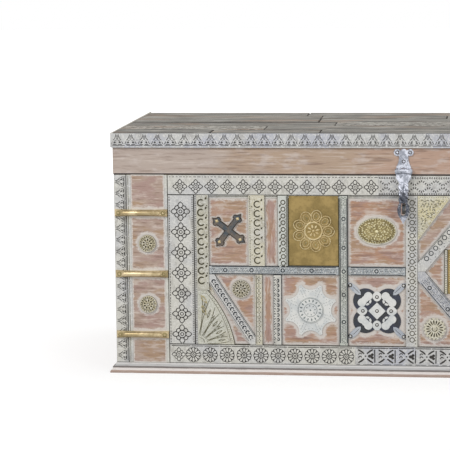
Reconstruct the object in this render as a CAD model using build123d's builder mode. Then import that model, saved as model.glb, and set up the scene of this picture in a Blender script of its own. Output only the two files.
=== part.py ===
from build123d import *
from math import asin, atan2, cos, degrees, hypot, radians, sin
import os

# A low dowry chest: a plank box on a moulded plinth, with a lid on back hinges.
# The front carries carved strips, sheet brass, iron ornaments and two swinging hasps.
# Millimetres. X runs along the chest, +Y to its back, +Z up. The origin is the middle
# of the underside.

# ---- carcass ----
CHEST_LENGTH = 1390.0
CHEST_DEPTH = 450.0
BOX_HEIGHT = 381.0
BOARD = 22.0  # thickness of the front, back and end boards
BOTTOM_BOARD = 18.0
PLINTH_HEIGHT = 18.5
PLINTH_PROUD = 11.5
PLINTH_TOE = 3.0  # upright foot of the plinth, under its curve
PLINTH_LIP = 1.0  # flat top of the plinth, against the boards
PLINTH_HOLLOW = 1.0  # depth of its curve
PLINTH_BEAD = 1.8  # radius of the bead along the middle of the curve

# ---- carved frame of the front ----
RELIEF = 5.0  # thickness of the frame pieces on the front board
CORNER_STRIP = 24.0
SIDE_BAND = 50.0
TOP_BAND = 38.5
BOTTOM_BAND = 37.0
SEAM = 0.4  # between neighbouring pieces on the front board
EDGE_ROUND = 0.8  # worn front edges of the carved pieces

# ---- inlaid field, from the middle of the chest outwards ----
INLAY = 4.0  # thickness of the strips in the field
CENTRE_BAY = 120.6  # half of its width
INNER_RING_STRIP = 21.9
OVAL_BAY = 108.7
TALL_STRIP = 16.7
FLOWER_BAY = 95.9
GREEN_STRIP = 20.0
UPPER_SLIP = 24.3
CREAM_STRIP = 30.8
CROSS_BAY = 76.0
OUTER_RING_STRIP = 22.8
FIELD_GROOVE = 4.8
RAIL_STRIP = 16.5
STAR_BAY = 109.0
DARK_STRIP = 16.0
LOWER_SLIP = 21.0
LOWER_CREAM_STRIP = 13.3
DIAGONAL_STRIP = 17.0
DIAMOND_STRIP = 21.0
CENTRE_STRIP = 6.0
FAN_WIDTH = 70.0
FAN_HEIGHT = 104.5
FAN_TOP = 19.0
FAN_BULGE = 7.0
CORNER_CARVING_WIDTH = 63.0
CORNER_CARVING_HEIGHT = 84.0

# ---- ornaments ----
SHEET = 1.5  # brass and iron sheet
EMBOSS = 1.6
FLOWER_PETALS = 9
FLOWER_RADIUS = 38.0
FLOWER_PETAL_RADIUS = 10.5
FLOWER_HEART_RADIUS = 16.5
FLOWER_TURN = 10.0  # direction of its first petal
CENTRE_PLATE_WIDTH = 129.0
CENTRE_PLATE_GAP = 1.3  # from the corners of its side strips up to the diamond strips
CENTRE_PLATE_BORDER = 9.0  # flat edge around its raised field
PLATE_MARGIN = 1.5
OVAL_WIDTH = 75.0
OVAL_HEIGHT = 52.0
OVAL_RIM = 4.0
OVAL_DOME = 6.0
OVAL_SLOPE = 9.0  # from its edge to the edge of its crown
STAR_POINTS = 8
STAR_RADIUS = 51.0
STAR_NOTCH_RADIUS = 39.0
STAR_TIP_ANGLE = 3.0  # half of the angle that a blunt tip takes
STAR_HEART_RADIUS = 24.5
CROSS_RADIUS = 39.5
CROSS_ARM_WIDTH = 11.5
CROSS_TIP = 11.5  # length of the point past the two lobes of an arm
CROSS_TIP_WIDTH = 15.4
CROSS_LOBE_RADIUS = 4.8
CROSS_TURN = 53.0  # direction of the first arm of the left one
IRON = 3.0  # thickness of the forged crosses
FRET_LOBE_RADIUS = 23.2
FRET_LOBE_OFFSET_X = 21.8
FRET_LOBE_OFFSET_Z = 19.6
FRET_ARM_WIDTH = 8.0
FRET_ARM_X = 50.0
FRET_ARM_Z = 48.0
SCROLL_RADIUS = 14.0
SCROLL_WIDTH = 6.5
SCROLL_OPENING = 100.0  # degrees left open towards the corner
SCROLL_INSET = 0.5  # from the middle of a lobe towards the middle of the fret
FRET_HEART_RADIUS = 13.2
ROSETTE_PETALS = 10
SIDE_ROSETTE_RADIUS = 16.0
FIELD_ROSETTE_RADIUS = 17.0
CENTRE_ROSETTE_RADIUS = 20.0
FIELD_ROSETTE_SIDE = 27.2  # from the cream strip
FIELD_ROSETTE_DROP = 28.0  # from the rail strip
CENTRE_ROSETTE_SIDE = 32.0  # from the inner ring strip
CENTRE_ROSETTE_RISE = 35.0  # from the bottom of the field
ROSETTE_THICKNESS = 3.0
PETAL_OVERLAP = 0.2  # by which the petals run into each other

# ---- brass straps across the corner strips ----
BAR_COUNT = 3
BAR_PITCH = 117.0
BAR_WIDTH = 13.6
BAR_WAIST = 11.6
BAR_PROUD = 7.0
BAR_CHAMFER = 3.2
BAR_DROP = 9.0  # of the middle strap below the middle of the front
BAR_INSET = 1.2  # from the end of the chest

# ---- lid ----
LID_GAP = 0.5
LID_HEIGHT = 78.5
LID_BOARD = 18.0
LID_RAIL = 20.0
LID_PROUD = 1.0
LID_WORN = 1.4  # worn lower edge of the front rail
LID_PLANKS = 4
PLANK_SEAM = 1.0
LID_BATTENS = 3
BATTEN_WIDTH = 50.0
BATTEN_THICKNESS = 15.0
BATTEN_END_GAP = 2.0
CORNICE_HEIGHT = 28.0
CORNICE_PROUD = 3.5
CORNICE_SPLAY = 1.6

# ---- back hinges ----
HINGE_SPACING = 860.0
HINGE_LENGTH = 70.0
HINGE_LEAF_HEIGHT = 40.0
HINGE_LEAF = 2.0
HINGE_KNUCKLES = 3
KNUCKLE_RADIUS = 5.0
KNUCKLE_GAP = 0.3
KNUCKLE_CLEAR = 0.6  # from a knuckle to the leaf that it turns past
HINGE_PIN_RADIUS = 2.5
PIN_CLEAR = 0.08
FACE_CLEAR = 0.4  # from a knuckle to the face behind it

# ---- hasps ----
HASP_OFFSET = 146.3  # from the middle of the chest
HASP_PIN_RISE = 7.5  # from the lower edge of the lid to the pin
HASP_PIN_RADIUS = 2.0
HASP_BARREL = 32.0
HASP_KNUCKLE = 10.6  # length of the strap's own knuckle
HASP_PLATE = 2.5
HASP_PLATE_GAP = 1.0  # from the top of the plate to the cornice
HASP_PLATE_FLARE = 13.6
HASP_PLATE_WAIST = 9.0
HASP_PLATE_BEND = 9.6  # half-width halfway between its foot and its ears
HASP_PLATE_FOOT = 3.0  # height of its straight foot
HASP_EAR_RADIUS = 6.5
HASP_EAR_OFFSET = 11.9
HASP_EAR_DROP = 7.1  # from the top of the plate to the middles of its ears
STRAP = 3.0
STRAP_SHOULDER = 14.0
STRAP_SHOULDER_DROP = 13.0
STRAP_NECK_DROP = 31.0
STRAP_NECK_BEND = 8.1  # half-width halfway from its shoulders to its neck
TWIST_SIDE = 7.0
TWIST_END_DROP = 54.0
TWIST_TURN = 90.0
TWIST_STEPS = 2  # stretches that the twist is made of
EYE_HALF_WIDTH = 11.0
TIP_HALF_WIDTH = 5.5
TIP_DROP = 88.5  # where the point under the eye starts
SLOT_DROP = 70.5
SLOT_LENGTH = 24.0
SLOT_WIDTH = 9.0
STRAP_REACH = 98.5
STAPLE_WIRE = 5.0
STAPLE_SPREAD = 14.0  # between the middles of its legs
STAPLE_EYE = 7.0  # free width of the staple in front of a shut strap
STAPLE_DEPTH = 18.0  # how far its legs go into the front board
STAPLE_CLEAR = 0.1
STRAP_CLEAR = 1.2  # from the resting strap to the nose of the staple
RUN_IN = 0.5  # by which joined forms of one piece run into each other

# ---- places worked out from those sizes ----
HALF_LENGTH = CHEST_LENGTH / 2
FRONT = -CHEST_DEPTH / 2
BACK = CHEST_DEPTH / 2
FIELD_FACE = FRONT + RELIEF
INNER_RING_OUT = CENTRE_BAY + INNER_RING_STRIP
OVAL_OUT = INNER_RING_OUT + OVAL_BAY
TALL_OUT = OVAL_OUT + TALL_STRIP
FLOWER_OUT = TALL_OUT + FLOWER_BAY
GREEN_OUT = FLOWER_OUT + GREEN_STRIP
UPPER_SLIP_OUT = GREEN_OUT + UPPER_SLIP
CREAM_OUT = UPPER_SLIP_OUT + CREAM_STRIP
CROSS_OUT = CREAM_OUT + CROSS_BAY
OUTER_RING_OUT = CROSS_OUT + OUTER_RING_STRIP
FIELD_HALF = OUTER_RING_OUT + FIELD_GROOVE
STAR_OUT = TALL_OUT + STAR_BAY
DARK_OUT = STAR_OUT + DARK_STRIP
LOWER_SLIP_OUT = DARK_OUT + LOWER_SLIP
LOWER_CREAM_OUT = LOWER_SLIP_OUT + LOWER_CREAM_STRIP
BAND_HALF = FIELD_HALF + SIDE_BAND
CORNER_STRIP_IN = HALF_LENGTH - CORNER_STRIP
FIELD_TOP = BOX_HEIGHT - TOP_BAND
FIELD_BOTTOM = PLINTH_HEIGHT + BOTTOM_BAND
FIELD_MIDDLE = (FIELD_TOP + FIELD_BOTTOM) / 2
FIELD_RISE = (FIELD_TOP - FIELD_BOTTOM) / 2
RAIL_TOP = FIELD_MIDDLE + RAIL_STRIP / 2
RAIL_BOTTOM = FIELD_MIDDLE - RAIL_STRIP / 2
UPPER_MIDDLE = (RAIL_TOP + FIELD_TOP) / 2
LOWER_MIDDLE = (RAIL_BOTTOM + FIELD_BOTTOM) / 2
# the centre plate and its side strips fill the diamond from corner to corner
DIAMOND_SLOPE = FIELD_RISE / CENTRE_BAY
DIAMOND_RISE = FIELD_RISE - DIAMOND_STRIP / 2 * hypot(1, DIAMOND_SLOPE)
CENTRE_CORNER = CENTRE_PLATE_WIDTH / 2 + CENTRE_STRIP
CENTRE_PLATE_HEIGHT = 2 * (DIAMOND_RISE - CENTRE_CORNER * DIAMOND_SLOPE - CENTRE_PLATE_GAP)
LID_BOTTOM = BOX_HEIGHT + LID_GAP
LID_TOP = LID_BOTTOM + LID_HEIGHT
LID_FRONT = FRONT - LID_PROUD
LID_HALF = HALF_LENGTH + LID_PROUD
HINGE_PIN_Y = BACK + FACE_CLEAR + KNUCKLE_RADIUS
HINGE_PIN_Z = BOX_HEIGHT + LID_GAP / 2
HASP_PIN_Y = LID_FRONT - FACE_CLEAR - KNUCKLE_RADIUS
HASP_PIN_HEIGHT = LID_BOTTOM + HASP_PIN_RISE
HASP_PLATE_TOP = LID_TOP - CORNICE_HEIGHT - HASP_PLATE_GAP - HASP_PIN_HEIGHT
HASP_EAR_HEIGHT = HASP_PLATE_TOP - HASP_EAR_DROP
STAPLE_HEIGHT = HASP_PIN_HEIGHT - SLOT_DROP
STAPLE_NOSE = HASP_PIN_Y - STRAP / 2 - STAPLE_EYE - STAPLE_WIRE
# the resting strap leans out over the round nose of the staple, clear of it
NOSE_RADIUS = (STAPLE_SPREAD + STAPLE_WIRE) / 2
NOSE_FORWARD = HASP_PIN_Y - STAPLE_NOSE - NOSE_RADIUS
STRAP_LEAN = degrees(
    asin((NOSE_RADIUS + STRAP / 2 + STRAP_CLEAR) / hypot(SLOT_DROP, NOSE_FORWARD))
    + atan2(NOSE_FORWARD, SLOT_DROP)
)

SIDES = {"left": -1, "right": 1}


def face_plane(y):
    """A drawing plane on a front face: its X is the chest's X and its Y is height."""
    return Plane(origin=(0, y, 0), x_dir=(1, 0, 0), z_dir=(0, -1, 0))


def save(part, label):
    part.label = label
    export_step(part, f"parts/{label}.step")


def board(label, x_span, y_span, z_span):
    """A plain rectangular board between three pairs of faces."""
    (x0, x1), (y0, y1), (z0, z1) = sorted(x_span), sorted(y_span), sorted(z_span)
    with BuildPart() as plank:
        with BuildSketch(Plane.XY.offset(z0)):
            with Locations(((x0 + x1) / 2, (y0 + y1) / 2)):
                Rectangle(x1 - x0, y1 - y0)
        extrude(amount=z1 - z0)
    save(plank.part, label)


def front_pieces(label, spans, thickness, worn=EDGE_ROUND):
    """Flat pieces on the front board, each between two distances along X and two heights."""
    with BuildPart() as pieces:
        with BuildSketch(face_plane(FIELD_FACE)):
            for (x0, x1), (z0, z1) in spans:
                with Locations(((x0 + x1) / 2, (z0 + z1) / 2)):
                    Rectangle(abs(x1 - x0) - SEAM, z1 - z0 - SEAM)
        extrude(amount=thickness)
        if worn:
            chamfer(pieces.faces().sort_by(Axis.Y).filter_by(Plane.XZ)[: len(spans)].edges(), worn)
    save(pieces.part, label)


def both(inner, outer):
    """The same span of X on each side of the middle."""
    return [(-outer, -inner), (inner, outer)]


def moulding(section, outward, reach, ends):
    """A moulding along one side. Its section is drawn from the face, outwards and up.

    outward is the side's direction and reach the distance from the middle to the face.
    ends holds how far it runs to each side and whether it is mitred there.
    """
    out = Vector(*outward, 0)
    along = out.cross(Vector(0, 0, 1))
    overshoot = section.bounding_box().max.X
    with BuildPart() as run:
        with BuildSketch(Plane(origin=out * reach, x_dir=out, z_dir=along)):
            add(section)
        extrude(amount=max(length for length, _ in ends) + overshoot, both=True)
        for way, (length, mitred) in zip((-1, 1), ends):
            corner = out * reach + along * (way * length)
            cut = along * way - out if mitred else along * way
            split(bisect_by=Plane(origin=corner, z_dir=cut), keep=Keep.BOTTOM)
    return run.part


def ray(radius, angle):
    """The point at a radius and an angle in degrees."""
    return (radius * cos(radians(angle)), radius * sin(radians(angle)))


# ================= the box =================
board(
    "bottom_board",
    (-HALF_LENGTH + BOARD, HALF_LENGTH - BOARD),
    (FIELD_FACE + BOARD, BACK - BOARD),
    (0, BOTTOM_BOARD),
)
board("back_board", (-HALF_LENGTH, HALF_LENGTH), (BACK - BOARD, BACK), (0, BOX_HEIGHT))
for name, side in SIDES.items():
    board(
        f"end_board_{name}",
        (side * (HALF_LENGTH - BOARD), side * HALF_LENGTH),
        (FIELD_FACE + BOARD, BACK - BOARD),
        (0, BOX_HEIGHT),
    )

with BuildPart() as front_board:
    with BuildSketch(face_plane(FIELD_FACE)):
        with Locations((0, BOX_HEIGHT / 2)):
            Rectangle(CHEST_LENGTH, BOX_HEIGHT)
    extrude(amount=-BOARD)
    with BuildSketch(face_plane(FIELD_FACE)):
        with Locations((0, STAPLE_HEIGHT)):
            with GridLocations(2 * HASP_OFFSET, STAPLE_SPREAD, 2, 2):
                Rectangle(STAPLE_WIRE + 2 * STAPLE_CLEAR, STAPLE_WIRE + 2 * STAPLE_CLEAR)
    extrude(amount=-STAPLE_DEPTH - STAPLE_CLEAR, mode=Mode.SUBTRACT)
save(front_board.part, "front_board")

# ---- plinth: an upright toe, a hollow curve with a bead, and a flat lip ----
foot, lip = Vector(PLINTH_PROUD, PLINTH_TOE), Vector(PLINTH_LIP, PLINTH_HEIGHT)
inwards = Vector(foot.Y - lip.Y, lip.X - foot.X).normalized()
curve_middle = (foot + lip) / 2 + inwards * PLINTH_HOLLOW
with BuildSketch() as plinth_section:
    with BuildLine():
        Polyline(lip, (0, PLINTH_HEIGHT), (0, 0), (PLINTH_PROUD, 0), foot)
        ThreePointArc(foot, curve_middle, lip)
    make_face()
    with Locations(curve_middle):
        Circle(PLINTH_BEAD)
plinth_sides = {
    "plinth_front": ((0, -1), -FRONT, HALF_LENGTH),
    "plinth_back": ((0, 1), BACK, HALF_LENGTH),
    "plinth_left": ((-1, 0), HALF_LENGTH, CHEST_DEPTH / 2),
    "plinth_right": ((1, 0), HALF_LENGTH, CHEST_DEPTH / 2),
}
for label, (outward, reach, half_length) in plinth_sides.items():
    ends = [(half_length, True)] * 2
    save(moulding(plinth_section.sketch, outward, reach, ends), label)

# ================= carved frame of the front =================
# the frame runs down behind the plinth to the floor
full_height = (0, BOX_HEIGHT)
for name, side in SIDES.items():
    front_pieces(
        f"corner_strip_{name}",
        [((side * CORNER_STRIP_IN, side * (HALF_LENGTH + SEAM / 2)), full_height)],
        RELIEF,
    )
    front_pieces(
        f"side_board_{name}", [((side * BAND_HALF, side * CORNER_STRIP_IN), full_height)], RELIEF
    )
    front_pieces(
        f"side_band_{name}",
        [((side * FIELD_HALF, side * BAND_HALF), (FIELD_BOTTOM, FIELD_TOP))],
        RELIEF,
    )
front_pieces("top_band", [((-BAND_HALF, BAND_HALF), (FIELD_TOP, BOX_HEIGHT))], RELIEF)
front_pieces("bottom_band", [((-BAND_HALF, BAND_HALF), (0, FIELD_BOTTOM))], RELIEF)

# ================= inlaid strips of the field =================
upper = (RAIL_TOP, FIELD_TOP)
lower = (FIELD_BOTTOM, RAIL_BOTTOM)
whole = (FIELD_BOTTOM, FIELD_TOP)
rail = (RAIL_BOTTOM, RAIL_TOP)
fan_top = FIELD_BOTTOM + FAN_HEIGHT
strips = {
    "outer_ring_strips": [(x, (fan_top, FIELD_TOP)) for x in both(CROSS_OUT, OUTER_RING_OUT)],
    "inner_ring_strips": [(x, whole) for x in both(CENTRE_BAY, INNER_RING_OUT)],
    "tall_strips": [(x, whole) for x in both(OVAL_OUT, TALL_OUT)],
    "green_strips": [(x, upper) for x in both(FLOWER_OUT, GREEN_OUT)],
    "cream_strips": [(x, upper) for x in both(UPPER_SLIP_OUT, CREAM_OUT)]
    + [(x, lower) for x in both(LOWER_SLIP_OUT, LOWER_CREAM_OUT)],
    "dark_strips": [(x, lower) for x in both(STAR_OUT, DARK_OUT)],
    "rail_strips": [(x, rail) for x in both(INNER_RING_OUT, OVAL_OUT) + both(TALL_OUT, CROSS_OUT)],
    "centre_strips": [
        (x, (FIELD_MIDDLE - CENTRE_PLATE_HEIGHT / 2, FIELD_MIDDLE + CENTRE_PLATE_HEIGHT / 2))
        for x in both(CENTRE_PLATE_WIDTH / 2, CENTRE_CORNER)
    ],
}
for label, spans in strips.items():
    front_pieces(label, spans, INLAY)

# ---- slanting strips of the lower outer bays ----
slant = hypot(CROSS_OUT - LOWER_CREAM_OUT, RAIL_BOTTOM - FIELD_BOTTOM)
slant_half = DIAGONAL_STRIP / 2 * slant / (RAIL_BOTTOM - FIELD_BOTTOM)
with BuildPart() as diagonal_strips:
    for side in SIDES.values():
        with BuildSketch(face_plane(FIELD_FACE)):
            with BuildLine():
                Polyline(
                    (side * (CROSS_OUT + slant_half), RAIL_BOTTOM - SEAM),
                    (side * (CROSS_OUT - slant_half), RAIL_BOTTOM - SEAM),
                    (side * (LOWER_CREAM_OUT - slant_half), FIELD_BOTTOM + SEAM),
                    (side * (LOWER_CREAM_OUT + slant_half), FIELD_BOTTOM + SEAM),
                    close=True,
                )
            make_face()
            with Locations((side * (CROSS_OUT + LOWER_CREAM_OUT) / 2, LOWER_MIDDLE)):
                Rectangle(
                    CROSS_OUT - LOWER_CREAM_OUT - 2 * SEAM,
                    RAIL_BOTTOM - FIELD_BOTTOM,
                    mode=Mode.INTERSECT,
                )
        extrude(amount=INLAY)
save(diagonal_strips.part, "diagonal_strips")

# ---- diamond of four strips in the centre bay ----
bay, rise = CENTRE_BAY, FIELD_RISE
half_cut = DIAMOND_STRIP / 2 * hypot(bay, rise)
edge_x, edge_z = bay - SEAM, rise - SEAM
diamond_quarter = [
    ((bay * rise - half_cut) / rise, SEAM / 2),
    (edge_x, SEAM / 2),
    (edge_x, (bay * rise + half_cut - edge_x * rise) / bay),
    ((bay * rise + half_cut - edge_z * bay) / rise, edge_z),
    (SEAM / 2, edge_z),
    (SEAM / 2, (bay * rise - half_cut) / bay),
]
with BuildPart() as diamond_strips:
    for side in SIDES.values():
        for up in (-1, 1):
            with BuildSketch(face_plane(FIELD_FACE)):
                with BuildLine():
                    Polyline(
                        *[(side * x, FIELD_MIDDLE + up * z) for x, z in diamond_quarter],
                        close=True,
                    )
                make_face()
            extrude(amount=INLAY)
save(diamond_strips.part, "diamond_strips")

# ---- carved fans in the lower corners, gilded leaves in the upper corners of the centre bay ----
with BuildPart() as fan_panels:
    for side in SIDES.values():
        outer, bottom = side * (OUTER_RING_OUT - SEAM), FIELD_BOTTOM + SEAM
        inner = side * (OUTER_RING_OUT - FAN_WIDTH)
        shoulder = (side * (OUTER_RING_OUT - FAN_TOP), fan_top - SEAM)
        middle = (
            (shoulder[0] + inner) / 2 - side * FAN_BULGE,
            (shoulder[1] + bottom) / 2 + FAN_BULGE * FAN_WIDTH / FAN_HEIGHT,
        )
        with BuildSketch(face_plane(FIELD_FACE)):
            with BuildLine():
                Polyline((inner, bottom), (outer, bottom), (outer, fan_top - SEAM), shoulder)
                ThreePointArc(shoulder, middle, (inner, bottom))
            make_face()
        extrude(amount=INLAY)
save(fan_panels.part, "fan_panels")

with BuildPart() as corner_carvings:
    for side in SIDES.values():
        outer, top = CENTRE_BAY - SEAM, FIELD_TOP - SEAM
        with BuildSketch(face_plane(FIELD_FACE)):
            with BuildLine():
                Polyline(
                    (side * outer, top),
                    (side * outer, top - CORNER_CARVING_HEIGHT),
                    (side * (outer - CORNER_CARVING_WIDTH), top),
                    close=True,
                )
            make_face()
            # the diamond's strip trims the carving's long side
            with BuildLine():
                Polyline(
                    *[(side * x, FIELD_MIDDLE + z) for x, z in diamond_quarter],
                    (0, FIELD_MIDDLE),
                    close=True,
                )
            make_face(mode=Mode.SUBTRACT)
        extrude(amount=INLAY)
save(corner_carvings.part, "corner_carvings")

# ================= sheet brass and iron ornaments =================
flower_middle = (TALL_OUT + FLOWER_OUT) / 2
with BuildPart() as flower_plates:
    for side in SIDES.values():
        middle = (side * flower_middle, UPPER_MIDDLE)
        with BuildSketch(face_plane(FIELD_FACE)):
            with Locations(middle):
                Rectangle(
                    FLOWER_BAY - 2 * PLATE_MARGIN, FIELD_TOP - RAIL_TOP - 2 * PLATE_MARGIN
                )
        extrude(amount=SHEET)
        with BuildSketch(face_plane(FIELD_FACE - SHEET)):
            with Locations(middle):
                Circle(FLOWER_RADIUS - FLOWER_PETAL_RADIUS)
                with PolarLocations(FLOWER_RADIUS - FLOWER_PETAL_RADIUS, FLOWER_PETALS, FLOWER_TURN):
                    Circle(FLOWER_PETAL_RADIUS)
        extrude(amount=EMBOSS)
        with BuildSketch(face_plane(FIELD_FACE - SHEET - EMBOSS)):
            with Locations(middle):
                Circle(FLOWER_HEART_RADIUS)
        extrude(amount=EMBOSS)
save(flower_plates.part, "flower_plates")

with BuildPart() as centre_plate:
    with BuildSketch(face_plane(FIELD_FACE)):
        with Locations((0, FIELD_MIDDLE)):
            Rectangle(CENTRE_PLATE_WIDTH - SEAM, CENTRE_PLATE_HEIGHT - SEAM)
    extrude(amount=SHEET)
    with BuildSketch(face_plane(FIELD_FACE - SHEET)):
        with Locations((0, FIELD_MIDDLE)):
            Rectangle(
                CENTRE_PLATE_WIDTH - 2 * CENTRE_PLATE_BORDER,
                CENTRE_PLATE_HEIGHT - 2 * CENTRE_PLATE_BORDER,
            )
    extrude(amount=EMBOSS)
save(centre_plate.part, "centre_plate")

oval_middle = (INNER_RING_OUT + OVAL_OUT) / 2
with BuildPart() as oval_bosses:
    for side in SIDES.values():
        with BuildSketch(face_plane(FIELD_FACE)):
            with Locations((side * oval_middle, UPPER_MIDDLE)):
                Ellipse(OVAL_WIDTH / 2, OVAL_HEIGHT / 2)
        extrude(amount=SHEET)
        with BuildSketch(face_plane(FIELD_FACE - SHEET)):
            with Locations((side * oval_middle, UPPER_MIDDLE)):
                Ellipse(OVAL_WIDTH / 2 - OVAL_RIM, OVAL_HEIGHT / 2 - OVAL_RIM)
        with BuildSketch(face_plane(FIELD_FACE - SHEET - OVAL_DOME)):
            with Locations((side * oval_middle, UPPER_MIDDLE)):
                Ellipse(OVAL_WIDTH / 2 - OVAL_SLOPE, OVAL_HEIGHT / 2 - OVAL_SLOPE)
        loft()
save(oval_bosses.part, "oval_bosses")

star_middle = (TALL_OUT + STAR_OUT) / 2
turn = 360 / STAR_POINTS
with BuildPart() as stars:
    for side in SIDES.values():
        middle = (side * star_middle, FIELD_FACE, LOWER_MIDDLE)
        with BuildSketch(face_plane(FIELD_FACE).shift_origin(middle)):
            with BuildLine():
                for point in range(STAR_POINTS):
                    angle = (point + 0.5) * turn
                    tip_start = ray(STAR_RADIUS, angle - STAR_TIP_ANGLE)
                    tip_end = ray(STAR_RADIUS, angle + STAR_TIP_ANGLE)
                    next_tip = ray(STAR_RADIUS, angle + turn - STAR_TIP_ANGLE)
                    Line(tip_start, tip_end)
                    ThreePointArc(tip_end, ray(STAR_NOTCH_RADIUS, angle + turn / 2), next_tip)
            make_face()
        extrude(amount=SHEET)
        with BuildSketch(face_plane(FIELD_FACE - SHEET)):
            with Locations((side * star_middle, LOWER_MIDDLE)):
                Circle(STAR_HEART_RADIUS)
        extrude(amount=EMBOSS)
save(stars.part, "stars")

cross_middle = (CREAM_OUT + CROSS_OUT) / 2
lobe_reach = CROSS_RADIUS - CROSS_TIP
tip_side = hypot(CROSS_TIP, CROSS_TIP_WIDTH / 2)
lobe_places = [(lobe_reach, CROSS_LOBE_RADIUS), (lobe_reach, -CROSS_LOBE_RADIUS)]
with BuildPart() as iron_crosses:
    for side in SIDES.values():
        middle = (side * cross_middle, UPPER_MIDDLE)
        first_arm = CROSS_TURN if side < 0 else 180 - CROSS_TURN
        with BuildSketch(face_plane(FIELD_FACE)):
            with Locations(middle):
                with PolarLocations(0, 4, first_arm):
                    Rectangle(lobe_reach, CROSS_ARM_WIDTH, align=(Align.MIN, Align.CENTER))
                    with Locations(*lobe_places):
                        Circle(CROSS_LOBE_RADIUS)
                    with Locations((lobe_reach, 0)):
                        Triangle(
                            a=CROSS_TIP_WIDTH,
                            b=tip_side,
                            c=tip_side,
                            rotation=-90,
                            align=(Align.CENTER, Align.MIN),
                        )
        extrude(amount=IRON)
save(iron_crosses.part, "iron_crosses")

fret_middle = oval_middle
with BuildPart() as fret_plates:
    for side in SIDES.values():
        with BuildSketch(face_plane(FIELD_FACE)):
            with Locations((side * fret_middle, LOWER_MIDDLE)):
                with GridLocations(2 * FRET_LOBE_OFFSET_X, 2 * FRET_LOBE_OFFSET_Z, 2, 2):
                    Circle(FRET_LOBE_RADIUS)
                with GridLocations(2 * FRET_ARM_X, 2 * FRET_ARM_Z, 2, 2):
                    Circle(FRET_ARM_WIDTH / 2)
                arm_angle = degrees(atan2(FRET_ARM_Z, FRET_ARM_X))
                for turn in (arm_angle, -arm_angle):
                    Rectangle(2 * hypot(FRET_ARM_X, FRET_ARM_Z), FRET_ARM_WIDTH, rotation=turn)
        extrude(amount=SHEET)
save(fret_plates.part, "fret_plates")

with BuildPart() as fret_scrolls:
    for side in SIDES.values():
        with BuildSketch(face_plane(FIELD_FACE - SHEET)):
            for right in (-1, 1):
                for up in (-1, 1):
                    lobe = (
                        side * fret_middle + right * (FRET_LOBE_OFFSET_X - SCROLL_INSET),
                        LOWER_MIDDLE + up * (FRET_LOBE_OFFSET_Z - SCROLL_INSET),
                    )
                    start = degrees(atan2(up, right)) + SCROLL_OPENING / 2
                    sweep_angle = 360 - SCROLL_OPENING
                    with BuildLine():
                        outer = CenterArc(lobe, SCROLL_RADIUS, start, sweep_angle)
                        inner = CenterArc(lobe, SCROLL_RADIUS - SCROLL_WIDTH, start, sweep_angle)
                        Line(outer @ 0, inner @ 0)
                        Line(outer @ 1, inner @ 1)
                    make_face()
            with Locations((side * fret_middle, LOWER_MIDDLE)):
                Circle(FRET_HEART_RADIUS)
        extrude(amount=EMBOSS)
save(fret_scrolls.part, "fret_scrolls")


def rosette(middle, radius, face, petals=0):
    """A carved round flower: a disc, with a ring of petals around it where it has them."""
    spread = sin(radians(180 / petals)) if petals else 0
    petal = radius * spread / (1 + spread)
    with BuildPart() as flower:
        with BuildSketch(face_plane(face)):
            with Locations(middle):
                Circle(radius - petal)
                if petals:
                    with PolarLocations(radius - petal, petals):
                        Circle(petal + PETAL_OVERLAP)
        extrude(amount=ROSETTE_THICKNESS)
    return flower.part


middle_bar = (PLINTH_HEIGHT + BOX_HEIGHT) / 2 - BAR_DROP
bar_heights = [
    middle_bar + BAR_PITCH * (row - (BAR_COUNT - 1) / 2) for row in range(BAR_COUNT)
]
side_middle = (BAND_HALF + CORNER_STRIP_IN) / 2
centre_rosette = (CENTRE_BAY - CENTRE_ROSETTE_SIDE, FIELD_BOTTOM + CENTRE_ROSETTE_RISE)
field_rosette = (LOWER_CREAM_OUT + FIELD_ROSETTE_SIDE, RAIL_BOTTOM - FIELD_ROSETTE_DROP)
with BuildPart() as side_rosettes:
    for side in SIDES.values():
        for below, above in zip(bar_heights, bar_heights[1:]):
            add(rosette((side * side_middle, (below + above) / 2), SIDE_ROSETTE_RADIUS, FRONT))
save(side_rosettes.part, "side_rosettes")
with BuildPart() as field_rosettes:
    for side in SIDES.values():
        for (x, z), radius, petals in (
            (field_rosette, FIELD_ROSETTE_RADIUS, 0),
            (centre_rosette, CENTRE_ROSETTE_RADIUS, ROSETTE_PETALS),
        ):
            add(rosette((side * x, z), radius, FIELD_FACE, petals))
save(field_rosettes.part, "field_rosettes")

# ---- brass straps ----
bar_outer, bar_inner = HALF_LENGTH - BAR_INSET, BAND_HALF + SEAM
for name, side in SIDES.items():
    with BuildPart() as bars:
        for height in bar_heights:
            ends = [side * bar_outer, side * bar_inner]
            with BuildSketch(face_plane(FRONT)):
                with BuildLine():
                    for up in (1, -1):
                        corners = [(x, height + up * BAR_WIDTH / 2) for x in ends]
                        waist = (sum(ends) / 2, height + up * BAR_WAIST / 2)
                        ThreePointArc(corners[0], waist, corners[1])
                    for x in ends:
                        Line((x, height + BAR_WIDTH / 2), (x, height - BAR_WIDTH / 2))
                make_face()
            extrude(amount=BAR_PROUD)
        rims = bars.faces().group_by(Axis.Y)[0].edges()
        chamfer(rims, min(BAR_CHAMFER, 0.4 * BAR_WAIST, 0.8 * BAR_PROUD))
    save(bars.part, f"brass_straps_{name}")

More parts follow.
